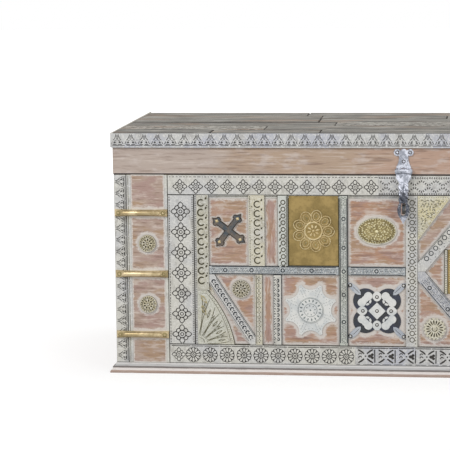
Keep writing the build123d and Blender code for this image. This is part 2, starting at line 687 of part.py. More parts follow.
# ================= lid =================
rail_top = LID_TOP - LID_BOARD
lid_ends = (-LID_HALF, LID_HALF)
board("lid_rail_back", lid_ends, (BACK - LID_RAIL, BACK), (LID_BOTTOM, rail_top))
with BuildPart() as lid_rail_front:
    with BuildSketch(face_plane(LID_FRONT)):
        with Locations((0, (LID_BOTTOM + rail_top) / 2)):
            Rectangle(2 * LID_HALF, rail_top - LID_BOTTOM)
    extrude(amount=-LID_RAIL)
    chamfer(lid_rail_front.edges().filter_by(Axis.X).sort_by(Axis.Y)[:2].sort_by(Axis.Z)[0], LID_WORN)
save(lid_rail_front.part, "lid_rail_front")
for name, side in SIDES.items():
    board(
        f"lid_rail_{name}",
        (side * (LID_HALF - LID_RAIL), side * LID_HALF),
        (LID_FRONT + LID_RAIL, BACK - LID_RAIL),
        (LID_BOTTOM, rail_top),
    )
plank_depth = (BACK - LID_FRONT + PLANK_SEAM) / LID_PLANKS
with BuildPart() as lid_planks:
    with BuildSketch(Plane.XY.offset(rail_top)):
        for plank in range(LID_PLANKS):
            with Locations((0, LID_FRONT + (plank + 0.5) * plank_depth - PLANK_SEAM / 2)):
                Rectangle(2 * LID_HALF, plank_depth - PLANK_SEAM)
    extrude(amount=LID_BOARD)
save(lid_planks.part, "lid_planks")

batten_pitch = 2 * LID_HALF / (LID_BATTENS + 1)
batten_length = BACK - LID_FRONT - 2 * LID_RAIL - 2 * BATTEN_END_GAP
with BuildPart() as lid_battens:
    with BuildSketch(Plane.XY.offset(rail_top)):
        with Locations((0, (LID_FRONT + BACK) / 2)):
            with GridLocations(batten_pitch, 0, LID_BATTENS, 1):
                Rectangle(BATTEN_WIDTH, batten_length)
    extrude(amount=-BATTEN_THICKNESS)
    chamfer(lid_battens.faces().sort_by(Axis.Z)[:LID_BATTENS].edges(), BATTEN_THICKNESS / 5)
save(lid_battens.part, "lid_battens")

cornice_foot = LID_TOP - CORNICE_HEIGHT
with BuildSketch() as cornice_section:
    with BuildLine():
        Polyline(
            (0, cornice_foot),
            (CORNICE_PROUD - CORNICE_SPLAY, cornice_foot),
            (CORNICE_PROUD, cornice_foot + CORNICE_SPLAY),
            (CORNICE_PROUD, LID_TOP - CORNICE_SPLAY / 2),
            (CORNICE_PROUD - CORNICE_SPLAY / 2, LID_TOP),
            (0, LID_TOP),
            close=True,
        )
    make_face()
cornice_sides = {
    "cornice_front": ((0, -1), -LID_FRONT, [(LID_HALF, True), (LID_HALF, True)]),
    "cornice_left": ((-1, 0), LID_HALF, [(BACK, False), (-LID_FRONT, True)]),
    "cornice_right": ((1, 0), LID_HALF, [(-LID_FRONT, True), (BACK, False)]),
}
for label, (outward, reach, ends) in cornice_sides.items():
    save(moulding(cornice_section.sketch, outward, reach, ends), label)

# ================= back hinges =================
knuckle_pitch = HINGE_LENGTH / HINGE_KNUCKLES
hinge_places = [-HINGE_SPACING / 2, HINGE_SPACING / 2]


def hinge_leaves(first_knuckle, up):
    """Leaves of both hinges that own every other knuckle. up is 1 for the lid's leaves."""
    leaf_edge = HINGE_PIN_Z + up * (KNUCKLE_RADIUS + KNUCKLE_CLEAR)
    leaf_end = HINGE_PIN_Z + up * HINGE_LEAF_HEIGHT
    back_face = Plane(origin=(0, BACK, 0), x_dir=(-1, 0, 0), z_dir=(0, 1, 0))
    with BuildPart() as leaves:
        for place in hinge_places:
            knuckles = [
                place - HINGE_LENGTH / 2 + (k + 0.5) * knuckle_pitch
                for k in range(first_knuckle, HINGE_KNUCKLES, 2)
            ]
            with BuildSketch(back_face):
                with Locations((-place, (leaf_edge + leaf_end) / 2)):
                    Rectangle(HINGE_LENGTH, abs(leaf_end - leaf_edge))
                for middle in knuckles:
                    with Locations((-middle, (leaf_edge + HINGE_PIN_Z) / 2)):
                        Rectangle(knuckle_pitch - 2 * KNUCKLE_GAP, abs(leaf_edge - HINGE_PIN_Z))
            extrude(amount=HINGE_LEAF)
            for middle in knuckles:
                start = middle - knuckle_pitch / 2 + KNUCKLE_GAP
                with BuildSketch(Plane.YZ.offset(start)):
                    with Locations((HINGE_PIN_Y, HINGE_PIN_Z)):
                        Circle(KNUCKLE_RADIUS)
                extrude(amount=knuckle_pitch - 2 * KNUCKLE_GAP)
        for place in hinge_places:
            with BuildSketch(Plane.YZ.offset(place - HINGE_LENGTH / 2)):
                with Locations((HINGE_PIN_Y, HINGE_PIN_Z)):
                    Circle(HINGE_PIN_RADIUS + PIN_CLEAR)
            extrude(amount=HINGE_LENGTH, mode=Mode.SUBTRACT)
    return leaves.part


save(hinge_leaves(0, -1), "box_hinge_leaves")
save(hinge_leaves(1, 1), "lid_hinge_leaves")
with BuildPart() as hinge_pins:
    for place in hinge_places:
        with BuildSketch(Plane.YZ.offset(place - HINGE_LENGTH / 2 - KNUCKLE_GAP)):
            with Locations((HINGE_PIN_Y, HINGE_PIN_Z)):
                Circle(HINGE_PIN_RADIUS)
        extrude(amount=HINGE_LENGTH + 2 * KNUCKLE_GAP)
save(hinge_pins.part, "hinge_pins")

# ================= hasps =================
leaf_foot = KNUCKLE_RADIUS + KNUCKLE_CLEAR
strap_gap = HASP_KNUCKLE / 2 + KNUCKLE_GAP
web = HASP_PLATE_FLARE - strap_gap
bend_y = STAPLE_NOSE + NOSE_RADIUS
leg_end = FIELD_FACE + STAPLE_DEPTH


def across(start, radius, length):
    """A round bar on the line of the hasps' pins, from a place along X."""
    with BuildPart() as bar:
        with BuildSketch(Plane.YZ.offset(start)):
            with Locations((HASP_PIN_Y, HASP_PIN_HEIGHT)):
                Circle(radius)
        extrude(amount=length)
    return bar.part


for name, side in SIDES.items():
    hasp_x = side * HASP_OFFSET

    # ---- fixed plate with its two outer knuckles ----
    with BuildPart() as hasp_plate:
        plate_corner = (hasp_x, LID_FRONT, HASP_PIN_HEIGHT)
        with BuildSketch(face_plane(LID_FRONT).shift_origin(plate_corner)):
            with BuildLine():
                for x in (-1, 1):
                    foot = (x * HASP_PLATE_FLARE, leaf_foot + HASP_PLATE_FOOT)
                    waist = (x * HASP_PLATE_WAIST, HASP_EAR_HEIGHT - HASP_EAR_RADIUS)
                    Line((x * HASP_PLATE_FLARE, leaf_foot), foot)
                    ThreePointArc(foot, (x * HASP_PLATE_BEND, HASP_EAR_HEIGHT / 2), waist)
                    Polyline(waist, (x * HASP_PLATE_WAIST, HASP_EAR_HEIGHT), (0, HASP_PLATE_TOP))
                Line((-HASP_PLATE_FLARE, leaf_foot), (HASP_PLATE_FLARE, leaf_foot))
            make_face()
            with Locations(
                (-HASP_EAR_OFFSET, HASP_EAR_HEIGHT),
                (HASP_EAR_OFFSET, HASP_EAR_HEIGHT),
                (0, HASP_PLATE_TOP - HASP_EAR_RADIUS),
            ):
                Circle(HASP_EAR_RADIUS)
            for x in (-1, 1):
                with Locations((x * (strap_gap + web / 2), leaf_foot / 2 + RUN_IN)):
                    Rectangle(web, leaf_foot + 2 * RUN_IN)
        extrude(amount=HASP_PLATE)
        for start in (-HASP_BARREL / 2, strap_gap):
            add(across(hasp_x + start, KNUCKLE_RADIUS, HASP_BARREL / 2 - strap_gap))
        bore = across(hasp_x - HASP_BARREL / 2, HASP_PIN_RADIUS + PIN_CLEAR, HASP_BARREL)
        add(bore, mode=Mode.SUBTRACT)
    save(hasp_plate.part, f"hasp_plate_{name}")

    pin_start = hasp_x - HASP_BARREL / 2 - KNUCKLE_GAP
    hasp_pin = across(pin_start, HASP_PIN_RADIUS, HASP_BARREL + 2 * KNUCKLE_GAP)
    save(hasp_pin, f"hasp_pin_{name}")

    # ---- staple of square iron, with legs that go into the front board ----
    with BuildPart() as staple:
        with BuildSketch(Plane.YZ.offset(hasp_x)):
            with BuildLine():
                knees = [(bend_y, STAPLE_HEIGHT + up * STAPLE_SPREAD / 2) for up in (1, -1)]
                Line((leg_end, knees[0][1]), knees[0])
                ThreePointArc(knees[0], (bend_y - STAPLE_SPREAD / 2, STAPLE_HEIGHT), knees[1])
                Line(knees[1], (leg_end, knees[1][1]))
            trace(line_width=STAPLE_WIRE)
        extrude(amount=STAPLE_WIRE / 2, both=True)
    save(staple.part, f"staple_{name}")

# ---- swinging straps: shoulders, twisted shank, slotted eye and pointed tip ----
lean = radians(STRAP_LEAN)
shank_half = TWIST_SIDE / 2
for name, side in SIDES.items():
    strap_plane = Plane(
        origin=(side * HASP_OFFSET, HASP_PIN_Y, HASP_PIN_HEIGHT),
        x_dir=(1, 0, 0),
        z_dir=(0, -cos(lean), sin(lean)),
    )
    strap_back = strap_plane.offset(-STRAP / 2)
    knuckle_start = side * HASP_OFFSET - HASP_KNUCKLE / 2
    with BuildPart() as hasp_strap:
        add(across(knuckle_start, KNUCKLE_RADIUS, HASP_KNUCKLE))
        with BuildSketch(strap_back):
            with Locations((0, -leaf_foot / 2)):
                Rectangle(HASP_KNUCKLE, leaf_foot + 2 * RUN_IN)
            with BuildLine():
                Line((-STRAP_SHOULDER, -leaf_foot), (STRAP_SHOULDER, -leaf_foot))
                for x in (-1, 1):
                    shoulder = (x * STRAP_SHOULDER, -STRAP_SHOULDER_DROP)
                    bend = (x * STRAP_NECK_BEND, -(STRAP_SHOULDER_DROP + STRAP_NECK_DROP) / 2)
                    Line((x * STRAP_SHOULDER, -leaf_foot), shoulder)
                    ThreePointArc(shoulder, bend, (x * shank_half, -STRAP_NECK_DROP))
                Line((-shank_half, -STRAP_NECK_DROP), (shank_half, -STRAP_NECK_DROP))
            make_face()
            with BuildLine():
                Line((-shank_half, -TWIST_END_DROP), (shank_half, -TWIST_END_DROP))
                for x in (-1, 1):
                    shank_end = (x * shank_half, -TWIST_END_DROP)
                    tip_start = (x * TIP_HALF_WIDTH, -TIP_DROP)
                    ThreePointArc(shank_end, (x * EYE_HALF_WIDTH, -SLOT_DROP), tip_start)
                    Line(tip_start, (0, -STRAP_REACH))
            make_face()
            with Locations((0, -SLOT_DROP)):
                SlotOverall(SLOT_LENGTH, SLOT_WIDTH, rotation=90, mode=Mode.SUBTRACT)
        extrude(amount=STRAP)
        for step in range(TWIST_STEPS + 1):
            share = step / TWIST_STEPS
            drop = STRAP_NECK_DROP + share * (TWIST_END_DROP - STRAP_NECK_DROP)
            section = Plane(
                strap_plane.from_local_coords((0, -drop, 0)),
                x_dir=strap_plane.x_dir,
                z_dir=-strap_plane.y_dir,
            )
            with BuildSketch(section):
                Rectangle(TWIST_SIDE, TWIST_SIDE, rotation=share * TWIST_TURN)
        loft()
        bore = across(knuckle_start, HASP_PIN_RADIUS + PIN_CLEAR, HASP_KNUCKLE)
        add(bore, mode=Mode.SUBTRACT)
    save(hasp_strap.part, f"hasp_strap_{name}")

print(f"strap lean at rest {STRAP_LEAN:.3f} degrees")
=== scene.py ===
"""Looks of a low Arabic dowry chest, made around its construction model.

The construction model gives every piece its place and size. This file adds the carving,
the painted and worn finishes, the sheet metal and the forged mounts. Drawings are made in
millimetres on the face of the chest, as complex numbers: real is X and imaginary is height.
"""

import cmath
import math
import random
from collections import namedtuple

import bmesh
import bpy
import numpy as np
from bpy.props import FloatProperty, FloatVectorProperty, IntProperty, PointerProperty
from mathutils import Matrix, Vector


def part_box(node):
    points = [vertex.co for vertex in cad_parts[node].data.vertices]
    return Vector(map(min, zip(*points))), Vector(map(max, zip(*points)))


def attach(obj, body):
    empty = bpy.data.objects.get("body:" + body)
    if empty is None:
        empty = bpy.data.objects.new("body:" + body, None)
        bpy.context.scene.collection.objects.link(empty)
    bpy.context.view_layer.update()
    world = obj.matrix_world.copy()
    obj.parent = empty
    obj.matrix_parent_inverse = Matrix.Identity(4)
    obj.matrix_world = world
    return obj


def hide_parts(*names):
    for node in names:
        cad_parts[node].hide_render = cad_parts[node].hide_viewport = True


bl_info = {
    "name": "Arabic Dowry Chest",
    "version": (1, 0, 0),
    "blender": (4, 5, 0),
    "location": "View3D > Sidebar > Chest",
    "description": "Carved, whitewashed and metal-mounted surfaces of a low dowry chest",
    "category": "Add Mesh",
}

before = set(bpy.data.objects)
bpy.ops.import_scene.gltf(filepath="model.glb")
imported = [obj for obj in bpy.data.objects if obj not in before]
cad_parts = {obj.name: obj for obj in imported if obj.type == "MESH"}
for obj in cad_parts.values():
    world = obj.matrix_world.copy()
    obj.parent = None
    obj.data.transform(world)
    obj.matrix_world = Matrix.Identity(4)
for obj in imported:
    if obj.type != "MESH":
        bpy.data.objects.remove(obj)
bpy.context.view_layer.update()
MM = 0.001
QUARTER = math.pi / 2
FACE_FRONT, FACE_LEFT, FACE_RIGHT = (QUARTER, 0.0, 0.0), (QUARTER, 0.0, -QUARTER), (QUARTER, 0.0, QUARTER)

# Places in millimetres: planes of the chest, and middles of the ornaments on its left half.
CHEST_END, CHEST_BACK, BOX_TOP, BOARD_FACE = 695.0, 225.0, 381.0, -220.0
PLINTH_TOP, PLATE_FACE = 19.6, -221.6
FIELD_LOW, FIELD_HIGH, RAIL_LOW, RAIL_HIGH = 55.8, 342.2, 190.75, 207.25
STAR, FRET, OVAL = -322.4 + 123.1j, -196.85 + 123.1j, -196.85 + 274.9j
CROSS, FLOWER = -476.9 + 274.9j, -315.85 + 274.9j
WEDGE_FLOWER, CENTRE_FLOWER = -454.4 + 162.75j, -88.6 + 90.5j
SIDE_X, STRAP_HEIGHTS = -631.75, (73.8, 190.8, 307.8)
OVAL_WIDE, OVAL_HIGH = 33.4, 22.0
HASP_LEAN = math.radians(13.2)

Span = namedtuple("Span", "west east low high")


# ------------------------------------------------------------------ places from the frame


def box(node):
    """Lowest and highest corner of a node, in millimetres."""
    low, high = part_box(node)
    return low / MM, high / MM


def outlines(node, level=0):
    """Closed outlines of a node's flat front faces, and their depth. Level 0 is the front one."""
    shape = bmesh.new()
    shape.from_mesh(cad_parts[node].data)
    bmesh.ops.remove_doubles(shape, verts=shape.verts, dist=1e-6)
    bmesh.ops.scale(shape, vec=(1 / MM,) * 3, verts=shape.verts)
    flat = [f for f in shape.faces if f.normal.y < -0.999]
    depth = sorted({round(f.calc_center_median().y, 2) for f in flat})[level]
    chosen = [f for f in flat if abs(f.calc_center_median().y - depth) < 0.02]
    step = {}
    for face in chosen:
        for loop in face.loops:
            if not any(other in chosen and other is not face for other in loop.edge.link_faces):
                step[loop.vert] = loop.link_loop_next.vert
    found = []
    while step:
        start = vert = next(iter(step))
        loop = []
        while vert in step:
            loop.append(complex(vert.co.x, vert.co.z))
            vert = step.pop(vert)
        if vert is start and len(loop) > 2:
            found.append(loop)
    shape.free()
    return found, depth


def spread(loop):
    """Least and greatest X and height of a loop."""
    xs, zs = [p.real for p in loop], [p.imag for p in loop]
    return Span(min(xs), max(xs), min(zs), max(zs))


def left(node, level=0):
    """A node's outlines on the left half of the front, from the left and from below, and their depth."""
    loops, face = outlines(node, level)
    mine = [loop for loop in loops if sum(p.real for p in loop) < 0]
    return sorted(mine, key=lambda loop: (round(spread(loop).west), round(spread(loop).low))), face


def area(loop):
    return sum((a.conjugate() * b).imag for a, b in zip(loop, loop[1:] + loop[:1])) / 2


def largest(node, level=0):
    """The largest of a node's outlines on the left."""
    return max(left(node, level)[0], key=lambda loop: abs(area(loop)))


def grown(loop, by):
    """The loop with each side moved outwards."""
    way = 1 if area(loop) > 0 else -1
    moved_corners = []
    for before, here, after in zip(loop[-1:] + loop[:-1], loop, loop[1:] + loop[:1]):
        one, two = here - before, after - here
        if abs(one) < 1e-6 or abs(two) < 1e-6:
            continue
        one, two = -1j * way * one / abs(one), -1j * way * two / abs(two)
        share = max(1 + (one.conjugate() * two).real, 0.3)
        moved_corners.append(here + by * (one + two) / share)
    return moved_corners


# ------------------------------------------------------------------ drawing in the flat


def circle(middle, radius, points=12):
    return [middle + cmath.rect(radius, 2 * math.pi * k / points) for k in range(points)]


def ellipse(middle, wide, high, points=16, turn=0.0):
    way = cmath.rect(1, turn)
    angles = [2 * math.pi * k / points for k in range(points)]
    return [middle + way * complex(wide * math.cos(a), high * math.sin(a)) for a in angles]


def leaf(root, tip, width, points=5, belly=0.8, blunt=0.8):
    """A leaf or petal. A belly under 1 puts its widest part nearer to the root."""
    along = tip - root
    side = 1j * along / abs(along) * width / 2
    shares = [k / points for k in range(points + 1)]
    sway = [math.sin(math.pi * s**belly) ** blunt if 0 < s < 1 else 0 for s in shares]
    out = [root + along * s + side * w for s, w in zip(shares, sway)]
    return out + [root + along * s - side * w for s, w in zip(shares, sway)][-2:0:-1]


def slit(path, width, ends=0.55):
    """A groove along an open path, narrower at its ends."""
    one, two = [], []
    for k, here in enumerate(path):
        ahead = path[min(k + 1, len(path) - 1)] - path[max(k - 1, 0)]
        side = 1j * ahead / abs(ahead) * width / 2 * (ends if k in (0, len(path) - 1) else 1)
        one.append(here + side)
        two.append(here - side)
    return one + two[::-1]


def arc(middle, radius, start, end, points=8):
    """Points on an arc, between two angles in degrees."""
    angles = [math.radians(start + (end - start) * k / points) for k in range(points + 1)]
    return [middle + cmath.rect(radius, a) for a in angles]


def ring(middle, radius, width, points=12):
    """A round groove: its outer and inner edge."""
    return [circle(middle, radius + width / 2, points), circle(middle, radius - width / 2, points)]


def curve(start, control, end, points=5):
    """Points on a bend from start to end that leans towards control."""
    shares = [k / points for k in range(points + 1)]
    return [(1 - s) ** 2 * start + 2 * s * (1 - s) * control + s * s * end for s in shares]


def moved(loops, by, angle=0):
    """Loops turned by an angle in degrees, and moved."""
    way = cmath.rect(1, math.radians(angle))
    return [[p * way + by for p in loop] for loop in loops]


def flipped(loops, x=-1, z=1):
    """Loops mirrored in X, in height or in both."""
    return [[complex(p.real * x, p.imag * z) for p in loop] for loop in loops]


def round_about(count, *loops, start=0.0):
    """Copies of loops, turned to their places round the middle."""
    return [loop for k in range(count) for loop in moved(loops, 0, start + 360 * k / count)]


def ways(count, lead=0.0):
    """Directions that divide a turn evenly."""
    return [cmath.rect(1, 2 * math.pi * (k + lead) / count) for k in range(count)]


def post(x, span, inset):
    """Ends of an upright line in a span."""
    return complex(x, span.low + inset), complex(x, span.high - inset)


def level(z, west, east):
    """Ends of a level line."""
    return complex(west, z), complex(east, z)


def spots_along(start, end, pitch):
    """Even places between start and end, about a pitch apart."""
    count = max(1, round(abs(end - start) / pitch))
    return [start + (end - start) * (k + 0.5) / count for k in range(count)]


def dots(start, end, pitch, radius):
    """A row of round dots from start to end."""
    return [circle(spot, radius, 6) for spot in spots_along(start, end, pitch)]


def ticks(start, end, pitch, long, wide):
    """Short strokes side by side from start to end, each across the way."""
    across = (end - start) / abs(end - start) * cmath.rect(long / 2, QUARTER)
    return [slit([p - across, p + across], wide, 1.0) for p in spots_along(start, end, pitch)]


def dashes(start, end, dash, gap, width, dice):
    """A broken line from start to end, as a hand draws it."""
    loops, at, length = [], 0.0, abs(end - start)
    way = (end - start) / length
    while at < length - 1:
        stop = min(length, at + dash * dice.uniform(0.5, 1.5))
        if stop - at > 1:
            loops.append(slit([start + way * at, start + way * stop], width, 1.0))
        at = stop + gap * dice.uniform(0.7, 1.4)
    return loops


def rectangle(west, east, low, high):
    return [complex(west, low), complex(east, low), complex(east, high), complex(west, high)]


def inside(point, loop):
    """Whether a point lies in a loop."""
    hits = 0
    for a, b in zip(loop, loop[1:] + loop[:1]):
        if (a.imag > point.imag) != (b.imag > point.imag):
            hits += point.real < a.real + (b.real - a.real) * (point.imag - a.imag) / (b.imag - a.imag)
    return hits % 2 == 1


def gap_to(point, loop):
    """Distance from a point to the nearest side of a loop."""
    start = np.array(loop)
    along = np.roll(start, -1) - start
    share = np.clip(((point - start) * along.conj()).real / np.abs(along) ** 2, 0, 1)
    return float(np.abs(point - start - along * share).min())


def reach_in(loops, middle, angle):
    """How far loops reach from a point in one direction."""
    way, far = cmath.rect(1, angle), 0.0
    for loop in loops:
        for one, two in zip(loop, loop[1:] + loop[:1]):
            a, b = (one - middle) / way, (two - middle) / way
            if a.imag * b.imag <= 0 and a.imag != b.imag:
                far = max(far, a.real + (b.real - a.real) * a.imag / (a.imag - b.imag))
    return far


def outline_round(loops, count=80):
    """One outline round loops that lie about the middle."""
    angles = [2 * math.pi * k / count for k in range(count)]
    return [cmath.rect(reach_in(loops, 0j, a), a) for a in angles]


def scalloped(radius, count, deep=0.07):
    """A round edge with a bow over each of its petals."""
    angles = [2 * math.pi * k / (count * 6) for k in range(count * 6)]
    return [cmath.rect(radius * (1 - deep + deep * abs(math.cos(a * count / 2))), a) for a in angles]


def chiselled(start, end, wide, dice, rings=()):
    """Small close chisel cuts that fill a strip, with room left for ringed flowers along it."""
    length, pitch, loops = abs(end - start), 3.1, []
    way = (end - start) / length
    rows = max(1, int(wide / pitch))
    for row in range(rows):
        off, at = (row - (rows - 1) / 2) * pitch, 2.0 + row % 2 * pitch / 2
        while at < length - 2.0:
            spot = start + way * complex(at + dice.uniform(-0.4, 0.4), off + dice.uniform(-0.35, 0.35))
            if dice.random() > 0.15 and all(abs(spot - r) > 5.3 for r in rings):
                size = dice.uniform(0.95, 1.4), dice.uniform(0.65, 1.0)
                loops.append(ellipse(spot, *size, 5, dice.uniform(0, math.pi)))
            at += pitch
    return loops + [edge for spot in rings for edge in ring(spot, 3.3, 2.0, 10)]


def tangle(border, pitch, wide, dice):
    """Short bent cuts that fill a shape, as in close leaf carving."""
    span, loops = spread(border), []
    for row in range(int((span.high - span.low) / pitch) + 1):
        for column in range(int((span.east - span.west) / pitch) + 2):
            spot = complex(span.west + (column + row % 2 / 2) * pitch, span.low + (row + 0.4) * pitch)
            spot += complex(dice.uniform(-0.3, 0.3), dice.uniform(-0.3, 0.3))
            turn = dice.uniform(0, 360)
            if inside(spot, border) and gap_to(spot, border) > pitch * 0.48:
                hook = arc(spot, pitch * 0.33, turn, turn + dice.uniform(150, 230), 5)
                loops.append(slit(hook, wide, 0.5))
    return loops


# ------------------------------------------------------------------ meshes and pieces


def helper(name, verts=(), edges=(), faces=()):
    """A new object with a plain mesh."""
    mesh = bpy.data.meshes.new(name)
    mesh.from_pydata(verts, edges, faces)
    made = bpy.data.objects.new(name, mesh)
    bpy.context.scene.collection.objects.link(made)
    return made


def loops_object(name, loops):
    """A helper object of closed edge loops, drawn flat in millimetres."""
    verts, edges = [], []
    for loop in loops:
        first, count = len(verts), len(loop)
        verts += [(p.real * MM, p.imag * MM, 0.0) for p in loop]
        edges += [(first + k, first + (k + 1) % count) for k in range(count)]
    return helper(name, verts, edges)


def bead_object(long, wide, high, sides=7):
    """A helper bead lying flat: a low rounded mound, longer along X."""
    verts = []
    for share, height in ((1.0, 0.0), (0.86, 0.55), (0.5, 0.9)):
        for way in ways(sides):
            spot = (way.real * share * long / 2, way.imag * share * wide / 2, height * high)
            verts.append([c * MM for c in spot])
    verts.append((0.0, 0.0, high * MM))
    faces = [tuple(range(sides))[::-1]]
    for k in range(sides):
        after = (k + 1) % sides
        for low in (0, sides):
            faces.append((low + k, low + after, low + sides + after, low + sides + k))
        faces.append((2 * sides + k, 2 * sides + after, 3 * sides))
    return helper("bead", verts, faces=faces)


def drop(*helpers):
    for made in helpers:
        mesh = made.data
        bpy.data.objects.remove(made)
        bpy.data.meshes.remove(mesh)


def keep(name, mesh, body, material=None, smooth=False, stands_for=()):
    """Makes a finished piece of a mesh whose corners are in metres."""
    piece = bpy.data.objects.new(name, mesh)
    bpy.context.scene.collection.objects.link(piece)
    if material:
        mesh.materials.clear()
        mesh.materials.append(material)
    mesh.shade_smooth() if smooth else mesh.shade_flat()
    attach(piece, body)
    if stands_for:
        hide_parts(*stands_for)
    return piece


def with_mirror(shape):
    """Adds the mirror of everything in shape on the other side of the chest's middle."""
    copy = bmesh.ops.duplicate(shape, geom=shape.verts[:] + shape.edges[:] + shape.faces[:])["geom"]
    for made in copy:
        if isinstance(made, bmesh.types.BMVert):
            made.co.x = -made.co.x
    bmesh.ops.reverse_faces(shape, faces=[g for g in copy if isinstance(g, bmesh.types.BMFace)])


def add(tree, kind, links=None, **settings):
    """Adds a node with its settings, and its inputs as values or as links from nodes or sockets."""
    made = tree.nodes.new(kind)
    for key, value in settings.items():
        setattr(made, key, value)
    for key, value in (links or {}).items():
        if isinstance(value, bpy.types.Node):
            value = value.outputs[0]
        if isinstance(value, bpy.types.NodeSocket):
            tree.links.new(value, made.inputs[key])
        else:
            made.inputs[key].default_value = value
    return made


def new_tree(name, **wanted):
    """A Geometry Nodes tree with one output and named inputs, given by their kinds."""
    tree = bpy.data.node_groups.new(name, "GeometryNodeTree")
    for label, kind in wanted.items():
        tree.interface.new_socket(name=label, in_out="INPUT", socket_type="NodeSocket" + kind)
    tree.interface.new_socket(name="Geometry", in_out="OUTPUT", socket_type="NodeSocketGeometry")
    return tree, tree.nodes.new("NodeGroupInput").outputs


def stood_up(tree, flat, given):
    """Ends a tree: stands flat work on its face of the chest and gives it its material."""
    stood = add(tree, "GeometryNodeTransform",
                {"Geometry": flat, "Rotation": given["Facing"], "Translation": given["Place"]})
    whole = add(tree, "GeometryNodeRealizeInstances", {"Geometry": stood})
    painted = add(tree, "GeometryNodeSetMaterial", {"Geometry": whole, "Material": given["Material"]})
    add(tree, "NodeGroupOutput", {0: painted})
    return tree


def carving_tree():
    """Cuts rows of a drawn motif through a thin plate, and stands the plate on its face."""
    tree, given = new_tree(
        "Carved Plate", Motif="Object", Border="Object", Copies="Int", Start="Vector", Step="Vector",
        Turn="Float", Looseness="Float", Seed="Int", Depth="Float", Facing="Vector", Place="Vector",
        Material="Material")
    links = {"Count": given["Copies"], "Start Location": given["Start"], "Offset": given["Step"]}
    line = add(tree, "GeometryNodeMeshLine", links, mode="OFFSET")
    motif, border = (add(tree, "GeometryNodeObjectInfo", {"Object": given[k]}).outputs["Geometry"]
                     for k in ("Motif", "Border"))
    least = add(tree, "ShaderNodeMath", {0: given["Looseness"], 1: -1.0}, operation="MULTIPLY")
    sway = add(tree, "FunctionNodeRandomValue", {2: least, 3: given["Looseness"], "Seed": given["Seed"]},
               data_type="FLOAT").outputs[1]
    angle = add(tree, "ShaderNodeMath", {0: given["Turn"], 1: sway}, operation="ADD")
    smallest = add(tree, "ShaderNodeMath", {0: 1.0, 1: given["Looseness"]}, operation="SUBTRACT")
    size = add(tree, "FunctionNodeRandomValue", {2: smallest, 3: 1.0, "Seed": given["Seed"]},
               data_type="FLOAT").outputs[1]
    placed = add(tree, "GeometryNodeInstanceOnPoints",
                 {"Points": line, "Instance": motif, "Scale": size,
                  "Rotation": add(tree, "ShaderNodeCombineXYZ", {"Z": angle})})
    drawn = add(tree, "GeometryNodeJoinGeometry",
                {0: add(tree, "GeometryNodeRealizeInstances", {"Geometry": placed})})
    tree.links.new(border, drawn.inputs[0])
    lines = add(tree, "GeometryNodeMeshToCurve", {"Mesh": drawn})
    filled = add(tree, "GeometryNodeFillCurve", {"Curve": lines}, mode="TRIANGLES")
    up = add(tree, "ShaderNodeCombineXYZ", {"Z": 1.0})
    raised = add(tree, "GeometryNodeExtrudeMesh",
                 {"Mesh": filled, "Offset": up, "Offset Scale": given["Depth"], "Individual": False})
    both = add(tree, "GeometryNodeJoinGeometry", {0: raised.outputs["Mesh"]})
    tree.links.new(add(tree, "GeometryNodeFlipFaces", {"Mesh": filled}).outputs[0], both.inputs[0])
    closed = add(tree, "GeometryNodeMergeByDistance", {"Geometry": both, "Distance": 1e-6})
    return stood_up(tree, closed, given)


def bead_tree():
    """Sets a bead every so far along drawn paths, each turned along its path."""
    tree, given = new_tree(
        "Bead Row", Path="Object", Bead="Object", Pitch="Float", Slant="Float", Unevenness="Float",
        Seed="Int", Facing="Vector", Place="Vector", Material="Material")
    path, bead = (add(tree, "GeometryNodeObjectInfo", {"Object": given[k]}).outputs["Geometry"]
                  for k in ("Path", "Bead"))
    line = add(tree, "GeometryNodeMeshToCurve", {"Mesh": path})
    spots = add(tree, "GeometryNodeCurveToPoints", {"Curve": line, "Length": given["Pitch"]}, mode="LENGTH")
    along = add(tree, "FunctionNodeAlignRotationToVector", {"Vector": spots.outputs["Tangent"]},
                axis="X", pivot_axis="Z")
    lean = add(tree, "ShaderNodeCombineXYZ", {"Z": given["Slant"]})
    turn = add(tree, "FunctionNodeRotateRotation", {"Rotation": along, "Rotate By": lean},
               rotation_space="LOCAL")
    least = add(tree, "ShaderNodeMath", {0: 1.0, 1: given["Unevenness"]}, operation="SUBTRACT")
    size = add(tree, "FunctionNodeRandomValue", {2: least, 3: 1.0, "Seed": given["Seed"]}, data_type="FLOAT")
    links = {"Points": spots.outputs["Points"], "Instance": bead, "Rotation": turn, "Scale": size.outputs[1]}
    placed = add(tree, "GeometryNodeInstanceOnPoints", links)
    return stood_up(tree, add(tree, "GeometryNodeRealizeInstances", {"Geometry": placed}), given)


def evaluated(tree, mirror, **values):
    """The mesh that a Geometry Nodes tree makes of its named inputs, with its mirror if asked."""
    host = helper("host")
    modifier = host.modifiers.new("Shape", "NODES")
    modifier.node_group = tree
    for item in tree.interface.items_tree:
        if item.in_out == "INPUT":
            modifier[item.identifier] = values[item.name]
    mesh = bpy.data.meshes.new_from_object(host.evaluated_get(bpy.context.evaluated_depsgraph_get()))
    drop(host)
    if mirror:
        shape = bmesh.new()
        shape.from_mesh(mesh)
        with_mirror(shape)
        shape.to_mesh(mesh)
        shape.free()
    return mesh


